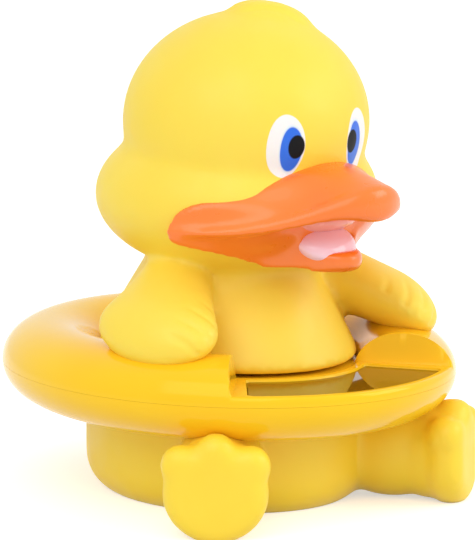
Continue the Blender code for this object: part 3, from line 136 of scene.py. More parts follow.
def loft(bm: Mesh, loops: Sequence[Sequence[Vector]]) -> None:
    """Skin a row of point loops by extruding one loop into the next, ends capped.

    Args:
        bm: Mesh that receives the skin.
        loops: Loops of equal length, each in the same order round the section.
    """
    count = len(loops[0])
    ring = bmesh.ops.create_circle(bm, cap_ends=False, segments=count, radius=1.0)["verts"]
    for vert, point in zip(ring, loops[0]):
        vert.co = point
    edges = [edge for edge in bm.edges if edge.verts[0] in set(ring) and edge.verts[1] in set(ring)]
    bmesh.ops.contextual_create(bm, geom=edges)
    for loop in loops[1:]:
        geom = bmesh.ops.extrude_edge_only(bm, edges=edges)["geom"]
        fresh = {item for item in geom if isinstance(item, bmesh.types.BMVert)}
        edges = [item for item in geom if isinstance(item, bmesh.types.BMEdge)]
        edges = [edge for edge in edges if edge.verts[0] in fresh and edge.verts[1] in fresh]
        after = []
        for vert, point in zip(ring, loop):
            follower = next(edge.other_vert(vert) for edge in vert.link_edges if edge.other_vert(vert) in fresh)
            follower.co = point
            after.append(follower)
        ring = after
    bmesh.ops.contextual_create(bm, geom=edges)


def oval(half_x: float, half_y: float, z: float, steps: int = 96) -> list[Vector]:
    """Level oval loop about the Z axis."""
    turns = [2 * math.pi * step / steps for step in range(steps)]
    return [Vector((half_x * math.cos(turn), half_y * math.sin(turn), z)) for turn in turns]


def rounded(half_x: float, half_y: float, corner: float, steps: int = 8) -> list[Plan]:
    """Outline of a rectangle with round corners, anticlockwise."""
    points = []
    for index, (x, y) in enumerate(((1, 1), (-1, 1), (-1, -1), (1, -1))):
        for step in range(steps + 1):
            turn = QUARTER * (index + step / steps)
            points.append((x * (half_x - corner) + corner * math.cos(turn),
                           y * (half_y - corner) + corner * math.sin(turn)))
    return points


def node_box(node: Item) -> tuple[Vector, Vector]:
    """Lowest and highest corner of a CAD node."""
    corners = [node.matrix_world @ Vector(corner) for corner in node.bound_box]
    low = Vector(min(corner[axis] for corner in corners) for axis in range(3))
    return low, Vector(max(corner[axis] for corner in corners) for axis in range(3))


def make_piece(name: str, bm: Mesh, crease: float = 40.0) -> Item:
    """Turn a bmesh into a smooth shaded object whose faces point outwards.

    Args:
        name: Name of the new object.
        bm: Mesh, which is freed.
        crease: Angle in degrees above which an edge stays sharp.

    Returns:
        The new object, at the origin.
    """
    bmesh.ops.recalc_face_normals(bm, faces=bm.faces[:])
    mesh = bpy.data.meshes.new(name)
    bm.to_mesh(mesh)
    bm.free()
    item = bpy.data.objects.new(name, mesh)
    bpy.context.scene.collection.objects.link(item)
    mesh.shade_smooth()
    mesh.set_sharp_from_angle(angle=math.radians(crease))
    return item


def bake(item: Item) -> None:
    """Keep an object's modified shape as its own mesh."""
    graph = bpy.context.evaluated_depsgraph_get()
    mesh = bpy.data.meshes.new_from_object(item.evaluated_get(graph))
    item.modifiers.clear()
    item.data = mesh


@contextmanager
def opened(item: Item) -> Iterator[Mesh]:
    """Mesh of an object, open for changes and written back afterwards."""
    bm = bmesh.new()
    bm.from_mesh(item.data)
    yield bm
    bm.to_mesh(item.data)
    bm.free()


def carve(item: Item, name: str, bm: Mesh) -> None:
    """Take a closed form out of an object.

    Args:
        item: Object that is carved.
        name: Name of the form.
        bm: The form, which is freed.
    """
    tool = make_piece(name, bm)
    modifier = item.modifiers.new("cut", "BOOLEAN")
    modifier.operation = "DIFFERENCE"
    modifier.solver = "EXACT"
    modifier.object = tool
    bake(item)
    bpy.data.objects.remove(tool, do_unlink=True)


def blend_lobes(item: Item, voxel: float, passes: int) -> None:
    """Blend overlapping lobes into one smooth skin.

    Args:
        item: Object made of overlapping closed forms.
        voxel: Size of the remeshing grid in metres.
        passes: Smoothing passes that soften the hollows between the lobes.
    """
    remesh = item.modifiers.new("blend", "REMESH")
    remesh.mode = "VOXEL"
    remesh.voxel_size = voxel
    bake(item)
    with opened(item) as bm:
        for _ in range(passes):
            bmesh.ops.smooth_vert(bm, verts=bm.verts[:], factor=0.5, use_axis_x=True, use_axis_y=True,
                                  use_axis_z=True)
    fine = item.modifiers.new("fine", "SUBSURF")
    fine.levels = 1
    fine.render_levels = 1
    bake(item)
    item.data.shade_smooth()


def press(item: Item, depth: Callable[[Vector], float]) -> None:
    """Move each vertex inwards along its normal by a depth that depends on its place."""
    with opened(item) as bm:
        bm.normal_update()
        moves = [(vert, vert.normal * depth(vert.co)) for vert in bm.verts]
        for vert, move in moves:
            vert.co -= move


class Bench:
    """Node tree with short calls for the nodes that the finishes and the studio use."""

    def __init__(self, owner: bpy.types.Material | bpy.types.World) -> None:
        """Open the tree of a material or a world."""
        self.owner = owner
        owner.use_nodes = True
        self.tree = owner.node_tree

    def link(self, value: object, socket: Socket) -> None:
        """Set a socket to a number or colour, or link another socket to it."""
        if isinstance(value, Socket):
            self.tree.links.new(value, socket)
        elif isinstance(value, tuple) and socket.type == "RGBA":
            socket.default_value = (*value, 1.0)
        else:
            socket.default_value = value

    def node(self, kind: str, inputs: dict[object, object], output: object = 0, **settings: object) -> Socket:
        """Add a node.

        Args:
            kind: Kind of shader node.
            inputs: Values or sockets by input.
            output: Output that is wanted.
            settings: Settings of the node.

        Returns:
            The output's socket.
        """
        node = self.tree.nodes.new("ShaderNode" + kind)
        for key, value in settings.items():
            setattr(node, key, value)
        for key, value in inputs.items():
            self.link(value, node.inputs[key])
        return node.outputs[output]

    def place(self) -> Socket:
        """Object coordinates."""
        return self.node("TexCoord", {}, "Object")

    def calc(self, operation: str, first: object, second: object = 0.0) -> Socket:
        """One Math node."""
        return self.node("Math", {0: first, 1: second}, operation=operation)

    def spread(self, value: object, low: float, high: float, first: float = 0.0, last: float = 1.0) -> Socket:
        """Smooth Map Range node from low..high to first..last."""
        return self.node("MapRange", {"Value": value, "From Min": low, "From Max": high, "To Min": first,
                                      "To Max": last}, interpolation_type="SMOOTHSTEP")

    def noise(self, scale: float, detail: float = 3.0) -> Socket:
        """Noise on the Object coordinates."""
        return self.node("TexNoise", {"Vector": self.place(), "Scale": scale, "Detail": detail})

    def cloud(self, source: float | Socket, first: float = 0.0, last: float = 1.0) -> Socket:
        """Noise, or noise of a scale, stretched from its usual range to first..last."""
        value = source if isinstance(source, Socket) else self.noise(source)
        return self.spread(value, 0.3, 0.7, first, last)

    def mix(self, share: object, first: object, second: object) -> Socket:
        """Mix of two colours."""
        return self.node("Mix", {0: share, 6: first, 7: second}, 2, data_type="RGBA")

    def bump(self, height: Socket, strength: float, distance: float) -> None:
        """Bump on the shader's normal."""
        self.set(normal=self.node("Bump", {"Strength": strength, "Distance": distance, "Height": height}))

    def set(self, **values: object) -> None:
        """Set or link the Principled shader's sockets, named with underscores."""
        inputs = self.tree.nodes["Principled BSDF"].inputs
        for key, value in values.items():
            self.link(value, inputs[key.replace("_", " ").title().replace("Ior", "IOR")])

    def seen_directly(self) -> Socket:
        """Light Path share that is 1 for camera, glossy and transmission rays."""
        total = self.node("LightPath", {}, "Is Camera Ray")
        rays = total.node.outputs
        for key in ("Is Glossy Ray", "Is Transmission Ray"):
            total = self.calc("MAXIMUM", total, rays[key])
        return total


def start_material(name: str) -> Bench:
    """Bench of a new material."""
    return Bench(bpy.data.materials.new(name))


@dataclass(frozen=True)
class EyePaint:
    """Painted eye as ovals on the face: distance from the middle, height and half sizes."""

    white: tuple[float, ...] = (0.0105, 0.0837, 0.0042, 0.0071)
    iris: tuple[float, ...] = (0.0094, 0.0830, 0.0025, 0.0050)
    pupil: tuple[float, ...] = (0.0083, 0.0835, 0.0019, 0.00268)
    turn: float = math.radians(5.0)
    axis_forward: float = 0.0075
    front_y: float = -0.015
    halo_share: float = 0.7
    white_colour: Colour = (0.93, 0.91, 0.88)
    halo_colour: Colour = (0.22, 0.62, 0.95)
    iris_colour: Colour = (0.012, 0.15, 0.78)
    pupil_colour: Colour = (0.008, 0.008, 0.009)

    def oval(self, bench: Bench, shape: tuple[float, ...], edge: float) -> Socket:
        """Mask that is 1 inside an oval on either side of the face.

        Args:
            bench: Material that the mask is built in.
            shape: Distance from the face's middle, height and half sizes of the oval.
            edge: Share of the oval over which the paint fades out.

        Returns:
            The mask's socket.
        """
        facing = bench.node("Mapping", {"Vector": bench.place(), "Rotation": (0.0, 0.0, -self.turn),
                                        "Location": (self.axis_forward * math.sin(self.turn), 0.0, 0.0)})
        x, y, z = bench.node("SeparateXYZ", {0: facing}).node.outputs
        across = bench.calc("DIVIDE", bench.calc("SUBTRACT", bench.calc("ABSOLUTE", x), shape[0]), shape[2])
        up = bench.calc("DIVIDE", bench.calc("SUBTRACT", z, shape[1]), shape[3])
        reach = bench.calc("SQRT", bench.calc("ADD", bench.calc("MULTIPLY", across, across),
                                              bench.calc("MULTIPLY", up, up)))
        inside = bench.spread(reach, 1.0 - edge, 1.0 + edge, 1.0, 0.0)
        return bench.calc("MULTIPLY", inside, bench.calc("LESS_THAN", y, self.front_y))

    def paint(self, bench: Bench, colour: Socket, rough: Socket) -> tuple[Socket, Socket]:
        """Lay the eyes over a face, smoother than the vinyl.

        Args:
            bench: Material of the face.
            colour: Colour of the face.
            rough: Roughness of the face.

        Returns:
            The painted colour and roughness.
        """
        white = self.oval(bench, self.white, 0.02)
        halo = bench.calc("MULTIPLY", self.oval(bench, self.iris, 0.22), self.halo_share)
        pupil = self.oval(bench, self.pupil, 0.08)
        colour = bench.mix(white, colour, self.white_colour)
        colour = bench.mix(halo, colour, self.halo_colour)
        colour = bench.mix(self.oval(bench, self.iris, 0.05), colour, self.iris_colour)
        colour = bench.mix(pupil, colour, self.pupil_colour)
        bench.set(specular_ior_level=bench.spread(pupil, 0.0, 1.0, 0.5, 0.1))
        return colour, bench.calc("SUBTRACT", rough, bench.calc("MULTIPLY", white, 0.15))


@dataclass(frozen=True)
class Vinyl:
    """Soft satin vinyl with a faint cloudiness and a fine moulded texture."""

    name: str
    colour: Colour
    deep: Colour
    roughness: float = 0.48
    eyes: EyePaint | None = None

    def material(self) -> bpy.types.Material:
        """Build the material."""
        bench = start_material(self.name)
        colour = bench.mix(bench.cloud(38.0), self.colour, self.deep)
        rough = bench.cloud(160.0, self.roughness - 0.04, self.roughness + 0.05)
        if self.eyes is not None:
            colour, rough = self.eyes.paint(bench, colour, rough)
        bench.set(base_color=colour, roughness=rough, subsurface_weight=0.15,
                  subsurface_radius=(1.0, 0.55, 0.12), subsurface_scale=0.002)
        bench.bump(bench.noise(900.0, 2.0), 0.08, 0.0002)
        return bench.owner


@dataclass(frozen=True)
class Gloss:
    """Polished coloured plastic or paint with a faint orange peel and tone change."""

    name: str
    colour: Colour
    deep: Colour
    roughness: float = 0.08
    coat: float = 0.0
    peel: float = 0.05
    sheen: Colour = (1.0, 1.0, 1.0)

    def material(self) -> bpy.types.Material:
        """Build the material."""
        bench = start_material(self.name)
        bench.set(base_color=bench.mix(bench.cloud(24.0), self.colour, self.deep),
                  roughness=bench.cloud(120.0, self.roughness * 0.8, self.roughness * 1.3),
                  specular_tint=self.sheen, coat_weight=self.coat, coat_roughness=0.05)
        bench.bump(bench.noise(260.0, 1.0), self.peel, 0.0003)
        return bench.owner


@dataclass(frozen=True)
class Smoke:
    """Dark tinted lens, polished, that shows its surroundings as a mirror does."""

    name: str = "smoked_lens"
    tint: Colour = (0.24, 0.12, 0.004)

    def material(self) -> bpy.types.Material:
        """Build the material."""
        bench = start_material(self.name)
        bench.set(base_color=self.tint, roughness=bench.spread(bench.noise(60.0), 0.4, 0.75, 0.02, 0.05),
                  transmission_weight=0.15, ior=1.49)
        return bench.owner


@dataclass(frozen=True)
class Matt:
    """Plain technical plastic, rubber or laminate with a fine grain."""

    name: str
    colour: Colour
    roughness: float = 0.6
    grain: float = 700.0
    detail: float = 3.0
    shade: float = 0.8
    smoother: float = 0.05
    rougher: float = 0.05
    relief: float = 0.12
    metallic: float = 0.0

    def material(self) -> bpy.types.Material:
        """Build the material."""
        bench = start_material(self.name)
        grain = bench.noise(self.grain, self.detail)
        dark = tuple(part * self.shade for part in self.colour)
        bench.set(base_color=bench.mix(bench.cloud(grain), self.colour, dark), metallic=self.metallic,
                  roughness=bench.cloud(grain, self.roughness - self.smoother, self.roughness + self.rougher))
        bench.bump(grain, self.relief, 0.0001)
        return bench.owner


@dataclass(frozen=True)
class Metal(Matt):
    """Turned or rolled metal with fine streaks."""

    grain: float = 500.0
    detail: float = 4.0
    shade: float = 0.85
    smoother: float = 0.0
    rougher: float = 0.12
    relief: float = 0.05
    metallic: float = 1.0


def dress(item: Item, material: bpy.types.Material) -> None:
    """Give an object one material."""
    item.data.materials.clear()
    item.data.materials.append(material)


def seat_piece(item: Item, material: bpy.types.Material, slot: str, *nodes: str) -> None:
    """Dress a piece and tie it to the frame.

    Args:
        item: Finished piece.
        material: Its material.
        slot: Material slot of the record; not used.
        nodes: CAD nodes that the piece stands for.
    """
    dress(item, material)
    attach(item, BODY)
    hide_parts(*nodes)
    LOG.info("%s: %d faces", item.name, len(item.data.polygons))


@dataclass
class Ring:
    """Oval swim ring of two glossy shells with the deck and the display's recess."""

    half_width: float = 0.0500
    half_length: float = 0.0578
    tube_half_width: float = 0.0118
    tube_half_height: float = 0.0094
    middle_z: float = 0.0293
    deck_rise: float = 0.0023
    recess_half_angle: float = math.radians(38.6)
    recess_wall_angle: float = math.radians(1.8)
    wall: float = 0.0020
    stations: int = 480
    lens_front: float = 0.0021
    lens_back: float = 0.0208
    lens_half_angle: float = math.radians(34.7)
    lens_corner: float = 0.0014
    lens_sink: float = 0.0005
    lens_thickness: float = 0.0011
    lens_rim: float = 0.00015
    seam: float = 0.00004
    round_over: float = 0.0016
    crowding: float = 0.11
    overlap: float = 0.001
    loop_spacing: float = 0.0008
    outer_steps: int = 64
    inner_steps: int = 24

    @property
    def deck_z(self) -> float:
        """Height of the deck."""
        return self.middle_z + self.deck_rise

    def point(self, inset: float, angle: float, z: float) -> Vector:
        """Point inside the ring's outer edge, its angle measured from the front."""
        across = self.half_width - inset
        along = self.half_length - inset
        return Vector((across * math.sin(angle), -along * math.cos(angle), z))

    def arc(self, front: float, back: float, half_angle: float, corner: float, z: float) -> list[Vector]:
        """Loop of a rounded band that follows the front of the ring.

        Args:
            front: Inset of the band's front edge.
            back: Inset of its back edge.
            half_angle: Half of the angle that it spans.
            corner: Radius of its corners.
            z: Height of the loop.

        Returns:
            The loop's points.
        """
        middle = (front + back) / 2
        radius = (self.half_width + self.half_length) / 2 - middle
        points = rounded(half_angle * radius, (back - front) / 2, corner)
        loop = []
        for start, end in zip(points, points[1:] + points[:1]):
            pieces = max(1, round(math.dist(start, end) / self.loop_spacing))
            for piece in range(pieces):
                run, depth = between(start, end, piece / pieces)
                loop.append(self.point(middle - depth, -run / radius, z))
        return loop

    def warp(self, angle: float) -> float:
        """Crowd the stations of the sweep at the two ends of the recess."""
        centre = self.recess_half_angle + self.recess_wall_angle / 2
        from_front = min(angle, 2 * math.pi - angle)
        pull = self.crowding * math.sin(math.pi * min(from_front / centre, 2.0))
        moved = from_front + pull
        return moved if angle <= math.pi else 2 * math.pi - moved

    def limit(self, angle: float, floor_z: float) -> float:
        """Greatest height at an angle: the floor inside the recess, free outside it."""
        from_front = min(angle, 2 * math.pi - angle)
        rise = ease((from_front - self.recess_half_angle) / self.recess_wall_angle)
        return floor_z + rise * self.tube_half_height * 1.3

    def sweep(self, section: Sequence[Plan], floor_z: float | None = None) -> Mesh:
        """Spin an inset, height section round the ring and close its two ends with a flat.

        Args:
            section: Open section as inset, height pairs.
            floor_z: Height that the recess is cut down to, or None for no recess.

        Returns:
            The closed form.
        """
        bm = bmesh.new()
        verts = [bm.verts.new((0.0, -(self.half_width - inset), z)) for inset, z in section]
        edges = [bm.edges.new(pair) for pair in zip(verts, verts[1:])]
        bmesh.ops.spin(bm, geom=verts + edges, cent=(0, 0, 0), axis=(0, 0, 1), angle=2 * math.pi,
                       steps=self.stations, use_merge=True)
        for vert in bm.verts:
            radius = math.hypot(vert.co.x, vert.co.y)
            angle = self.warp(math.atan2(vert.co.x, -vert.co.y) % (2 * math.pi))
            z = vert.co.z
            if floor_z is not None:
                z = soft_min(z, self.limit(angle, floor_z), self.round_over)
            vert.co = self.point(self.half_width - radius, angle, z)
        bmesh.ops.holes_fill(bm, edges=[edge for edge in bm.edges if edge.is_boundary], sides=0)
        return bm

    def dome(self, wall: float, low: float, high: float, steps: int) -> list[Plan]:
        """Inset, height pairs on the tube's oval, thinner by a wall, between two angles in degrees."""
        pairs = []
        for step in range(steps + 1):
            turn = math.radians(low + (high - low) * step / steps)
            pairs.append((self.tube_half_width - (self.tube_half_width - wall) * math.cos(turn),
                          self.middle_z + (self.tube_half_height - wall) * math.sin(turn)))
        return pairs

    def build_upper(self) -> Item:
        """Upper shell with the deck, the recess and the pocket of the lens."""
        deck_turn = math.degrees(math.asin(self.deck_rise / self.tube_half_height))
        underside = self.deck_z - self.wall
        inner_turn = math.degrees(math.asin((underside - self.middle_z) / (self.tube_half_height - self.wall)))
        section = self.dome(0.0, 180 - deck_turn, 0.0, self.outer_steps)
        shell = make_piece("ring_dome", self.sweep(section, self.deck_z))
        section = self.dome(self.wall, 180 - inner_turn, 0.0, self.inner_steps)
        section.append((section[-1][0], self.middle_z - self.overlap))
        carve(shell, "hollow", self.sweep(section, underside))
        pocket = bmesh.new()
        low_z = self.deck_z - self.lens_sink - self.lens_thickness - GAP
        loft(pocket, [self.arc(self.lens_front, self.lens_back, self.lens_half_angle, self.lens_corner, z)
                      for z in (low_z - self.wall, self.deck_z + 2 * self.overlap)])
        carve(shell, "pocket", pocket)
        return shell

    def build_lower(self) -> Item:
        """Lower shell, a tray that meets the upper one in a hairline."""
        section = self.dome(0.0, -90.0, 0.0, self.outer_steps // 2)
        section[-1] = (0.0, self.middle_z - self.seam)
        shell = make_piece("ring_tray", self.sweep(section))
        section = self.dome(self.wall, -90.0, 0.0, self.inner_steps // 2)
        section.append((section[-1][0], self.middle_z + self.overlap))
        carve(shell, "hollow", self.sweep(section))
        return shell

    def build_lens(self) -> Item:
        """Curved display lens with a fine polished rim."""
        bm = bmesh.new()
        top = self.deck_z - self.lens_sink
        rows = ((top - self.lens_thickness, GAP), (top - self.lens_rim, GAP), (top, GAP + self.lens_rim))
        loft(bm, [self.arc(self.lens_front + inset, self.lens_back - inset,
                           self.lens_half_angle - inset / self.half_width, self.lens_corner - inset, z)
                  for z, inset in rows])
        return make_piece("display_lens", bm, 25.0)

    def build(self) -> None:
        """Build, dress and tie the ring's pieces."""
        yellow = Gloss("ring_gloss", (1.0, 0.63, 0.018), (1.0, 0.59, 0.014), 0.12, sheen=(1.0, 0.72, 0.30))
        finish = yellow.material()
        seat_piece(self.build_upper(), finish, "gloss_yellow", "ring_upper_shell")
        seat_piece(self.build_lower(), finish, "gloss_yellow", "ring_lower_shell")
        seat_piece(self.build_lens(), Smoke().material(), "window_smoke", "display_window")


@dataclass
class Figure:
    """Vinyl duck: head, neck, torso, wings and the tuft on its crown."""

    deck_z: float = 0.0316
    head: Lobe = Lobe(0.0, 0.0075, 0.0865, (0.0283, 0.0283, 0.0253))
    cheeks: Lobe = CHEEKS
    neck_radius: float = 0.0190
    neck_low_z: float = 0.0440
    torso_half_width: float = 0.0280
    torso_half_length: float = 0.0345
    torso_top_z: float = 0.0560
    torso_shoulder: float = 0.58
    torso_flare: float = 1.12
    torso_edge: float = 0.0012
    wing: Lobe = Lobe(0.0334, 0.0204, 0.0434, (0.0100, 0.0160, 0.0064), -12.0, 36.0, 7.0)
    shoulder: Lobe = Lobe(0.0222, 0.0088, 0.0496, (0.0110, 0.0086, 0.0074), -12.0, 38.0)
    wing_lobes: int = 6
    feather_spacing: float = 0.42
    feather_groove: float = 0.0004
    curl_spacing: float = 0.75
    feather_start: float = 0.35
    feather_end: float = 1.05
    curl_bend: float = 0.35
    curl_end: float = 1.3
    tufts: tuple[Lobe, ...] = (
        Lobe(0.0038, 0.0115, 0.1096, (0.0100, 0.0058, 0.0045), -30.0, 12.0),
        Lobe(0.0023, 0.0115, 0.1086, (0.0082, 0.0046, 0.0036), 12.0, 12.0),
    )
    voxel: float = 0.0011
    passes: int = 8

    def add_torso(self, bm: Mesh) -> None:
        """Bell-shaped torso down to its rounded foot on the deck."""
        rows = [(self.deck_z + GAP + rise, 1.0, inset) for rise, inset in quarter(5, self.torso_edge)]
        low_z = rows[-1][0]
        for step in range(1, 13):
            share = step / 12
            rows.append((low_z + (self.torso_top_z - low_z) * share,
                         1 - (1 - self.torso_shoulder) * share ** self.torso_flare, 0.0))
        loft(bm, [oval(self.torso_half_width * scale - shrink, self.torso_half_length * scale - shrink, z)
                  for z, scale, shrink in rows])

    def build_body(self) -> Item:
        """Blend the head, the torso, the wings and the tuft into one skin."""
        bm = bmesh.new()
        self.head.add(bm)
        self.cheeks.add(bm)
        matrix = Matrix.Translation(spot(0.0, self.cheeks.forward, (self.neck_low_z + self.cheeks.z) / 2))
        bmesh.ops.create_cone(bm, cap_ends=True, segments=96, radius1=self.neck_radius, radius2=self.neck_radius,
                              depth=self.cheeks.z - self.neck_low_z, matrix=matrix)
        self.add_torso(bm)
        for side in Side:
            for step in range(self.wing_lobes):
                self.shoulder.towards(self.wing, step / (self.wing_lobes - 1)).add(bm, side)
        for tuft in self.tufts:
            tuft.add(bm)
        body = make_piece("duck_body", bm)
        blend_lobes(body, self.voxel, self.passes)
        return body

    def lines(self, place: float, spacing: float) -> float:
        """Share of a groove's depth at a place across a row of grooves."""
        return (0.5 + 0.5 * math.cos(2 * math.pi * place / spacing)) ** 3

    def feather_depth(self, local: Vector) -> float:
        """Depth of the feather grooves at a point of a wing.

        Args:
            local: Point with the wing's lobe as the unit ball, -Y at its tip.

        Returns:
            The depth in metres.
        """
        if local.length > 1.6 or local.z < 0.0:
            return 0.0
        tip = ease((-local.y - self.feather_start) / 0.35) * ease((self.feather_end + local.y) / 0.2)
        return self.feather_groove * self.lines(local.x, self.feather_spacing) * tip

    def tuft_depth(self, local: Vector) -> float:
        """Depth of the curl's grooves at a point in the tuft's own unit coordinates."""
        if local.length > 1.7 or local.z < 0.1:
            return 0.0
        bend = local.y + self.curl_bend * local.x ** 2
        fade = ease((self.curl_end - local.length) / 0.5)
        return self.feather_groove * self.lines(bend, self.curl_spacing) * fade

    def groove(self, body: Item) -> None:
        """Press the feather grooves into the wing tips and the curl into the tuft."""
        wings = [self.wing.matrix(side).inverted() for side in Side]
        tuft = self.tufts[0].matrix().inverted()
        press(body, lambda point: max(self.tuft_depth(tuft @ point),
                                      *(self.feather_depth(wing @ point) for wing in wings)))

    def build(self) -> None:
        """Build, dress and tie the body."""
        body = self.build_body()
        self.groove(body)
        finish = Vinyl("duck_vinyl", (0.98, 0.735, 0.074), (0.97, 0.71, 0.062), eyes=EyePaint())
        seat_piece(body, finish.material(), "vinyl_yellow", "duck_figure")


@dataclass
class Bill:
    """Open bill with its tongue, swept about the middle of the head and turned with it."""

    turn: float = math.radians(7.2)
    wall_rise: float = 0.0013
    corner_rise: float = 0.0020
    corner_turn: float = math.radians(73.0)
    mouth_half_width: float = 0.0320
    corner_forward: float = 0.0148
    upper_reach: float = 0.0516
    upper_half_width: float = 0.0203
    upper_flare: float = 7.0
    flank_dip: float = 0.0021
    join_corner_z: float = 0.0710
    join_rise: float = 0.0083
    crease_corner_z: float = 0.0655
    crease_rise: float = 0.0102
    roll_corner: float = 0.0012
    roll_side: float = 0.0030
    roll_tip: float = 0.0042
    roll_out: float = 0.0020
    lower_reach: float = 0.0430
    lower_half_width: float = 0.0106
    lower_flare: float = 11.0
    lean: float = 0.70
    lower_centre_z: float = 0.0552
    lower_corner_rise: float = 0.0067
    lower_roll: float = 0.0050
    root_rise: float = 0.0028
    dish: float = 0.0032
    lining_rise: float = 0.0006
    lining_low: float = 0.0030
    lining_spread: float = 0.66
    part_turn: float = math.radians(32.0)
    meet_turn: float = math.radians(54.0)
    lean_turn: float = math.radians(42.0)
    full_lean_turn: float = math.radians(60.0)
    root_depth: float = 0.0050
    root_spread: float = 0.72
    join_fall: float = 3.6
    crease_fall: float = 2.6
    crown_rise: float = 0.0005
    crown_power: Plan = (1.15, 10.15)
    crown_fall: Plan = (0.95, 0.60)
    corner_height: float = 0.0008
    corner_draw: float = 0.7
    floor_rise: float = 0.0015
    meet_rise: float = 0.0006
    lower_inset: float = 0.0070
    tip_turn: float = math.radians(24.0)
    keel_share: float = 0.55
    keel_power: float = 1.3
    bead: float = 0.8
    keel_reach: float = 0.76
    rim_reach: float = 0.80
    rim_inset: Plan = (0.0016, 0.0030)
    fold_place: float = 0.9
    fold_width: float = 0.06
    steps: int = 90
    tongue: Lobe = Lobe(-0.0010, 0.0338, 0.0612, (0.0079, 0.0066, 0.0038), 0.0, 0.0, 30.0)
    palate: Lobe = Lobe(-0.0006, 0.0322, 0.0664, (0.0096, 0.0060, 0.0030))
    voxel: float = 0.0007
    passes: int = 7

    def root(self, angle: float, inset: float) -> Plan:
        """Plan point on the cheeks, moved inwards."""
        radius = CHEEKS.radii[0] - inset
        return radius * math.sin(angle), CHEEKS.forward + radius * math.cos(angle)

    def front(self, turn: float) -> float:
        """Share that is 1 at the front and 0 at the mouth corners."""
        return max(math.cos(turn), 0.0)

    def lip(self, turn: float, reach: float, half_width: float, flare_power: float) -> Plan:
        """Plan point on an outline: the front at 0, a mouth corner at 90 degrees."""
        flare = (self.mouth_half_width - half_width) * abs(math.sin(turn)) ** flare_power
        forward = self.corner_forward + (reach - self.corner_forward) * self.front(turn)
        return (half_width + flare) * math.sin(turn), forward

    def crease_z(self, turn: float) -> float:
        """Height of the crease between the upper side and the rolled lip."""
        return self.crease_corner_z + self.crease_rise * self.front(turn) ** self.crease_fall

    def roll_low_z(self, turn: float) -> float:
        """Height of the underside of the rolled upper lip, which is thickest at the tip."""
        tip = math.exp(-(turn / self.tip_turn) ** 2)
        return self.crease_z(turn) - (self.roll_corner + self.roll_side * self.front(turn) + self.roll_tip * tip)

    def low_z(self, turn: float) -> float:
        """Height of the lower edge of the lower bill, higher towards the corners."""
        front = min(1.0, self.front(turn) / self.keel_share)
        return self.lower_centre_z + self.lower_corner_rise * (1 - front ** self.keel_power)

    def crown_z(self, turn: float) -> float:
        """Height of the upper side at the cheeks, highest at the bridge and rounded off at the corners."""
        crease = self.crease_z(turn)
        join = self.join_rise * math.cos(turn * self.root_spread) ** self.join_fall
        top = max(self.join_corner_z + join, crease + self.crown_rise)
        corner = self.corner(turn)
        return top - (top - crease - self.corner_height) * (1 - math.sqrt(max(0.0, 1 - corner ** 2)))

    def corner(self, turn: float) -> float:
        """Share that grows from 0 to 1 over the last of the way to a mouth corner."""
        return max(0.0, (abs(turn) - self.corner_turn) / (QUARTER - self.corner_turn))

    def upper_loop(self, turn: float) -> list[Vector]:
        """Section of the broad upper bill: over the crown, round the rolled lip and back underneath.

        Args:
            turn: Angle from the front.

        Returns:
            The loop's points.
        """
        root = self.root(turn * self.root_spread, self.root_depth)
        lip = self.clear(self.lip(turn, self.upper_reach, self.upper_half_width, self.upper_flare),
                         CHEEKS.z, self.corner_rise)
        top, crease, bottom = self.crown_z(turn), self.crease_z(turn), self.roll_low_z(turn)
        floor = bottom + self.floor_rise * self.front(turn)
        out = self.roll_out * (1 - self.corner_draw * self.corner(turn))
        side = abs(math.sin(turn)) ** 10
        full, fall = (low + (high - low) * side for low, high in (self.crown_power, self.crown_fall))
        dip = self.flank_dip * math.sin(2 * turn) ** 2
        length = math.dist(root, lip)
        start = 1 - out / max(length, 2 * out)
        seat = min(0.8, self.root_depth / length)
        points = []
        for step in range(21):
            share = math.sin(QUARTER * step / 20)
            past = max(0.0, (share - seat) / (1 - seat))
            fold = 0.5 * math.exp(-((past - self.fold_place) / self.fold_width) ** 2)
            crown = (top - crease) * (1 - past ** full) ** fall
            z = crease + crown - dip * (math.sin(math.pi * past) + fold)
            points.append(spot(*between(root, lip, share * start), z))
        for rise, bulge in self.beads():
            z = (crease + bottom) / 2 + (crease - bottom) / 2 * rise
            points.append(spot(*between(root, lip, start + (1 - start) * bulge), z))
        for step in range(15):
            share = 1 - step / 14
            points.append(spot(*between(root, lip, share * start), floor + (bottom - floor) * share))
        return points

    def beads(self) -> list[Plan]:
        """Rise from 1 to -1 and bulge round a lip."""
        turns = [QUARTER - math.pi * step / 14 for step in range(1, 14)]
        return [(math.sin(turn), math.cos(turn) ** self.bead) for turn in turns]

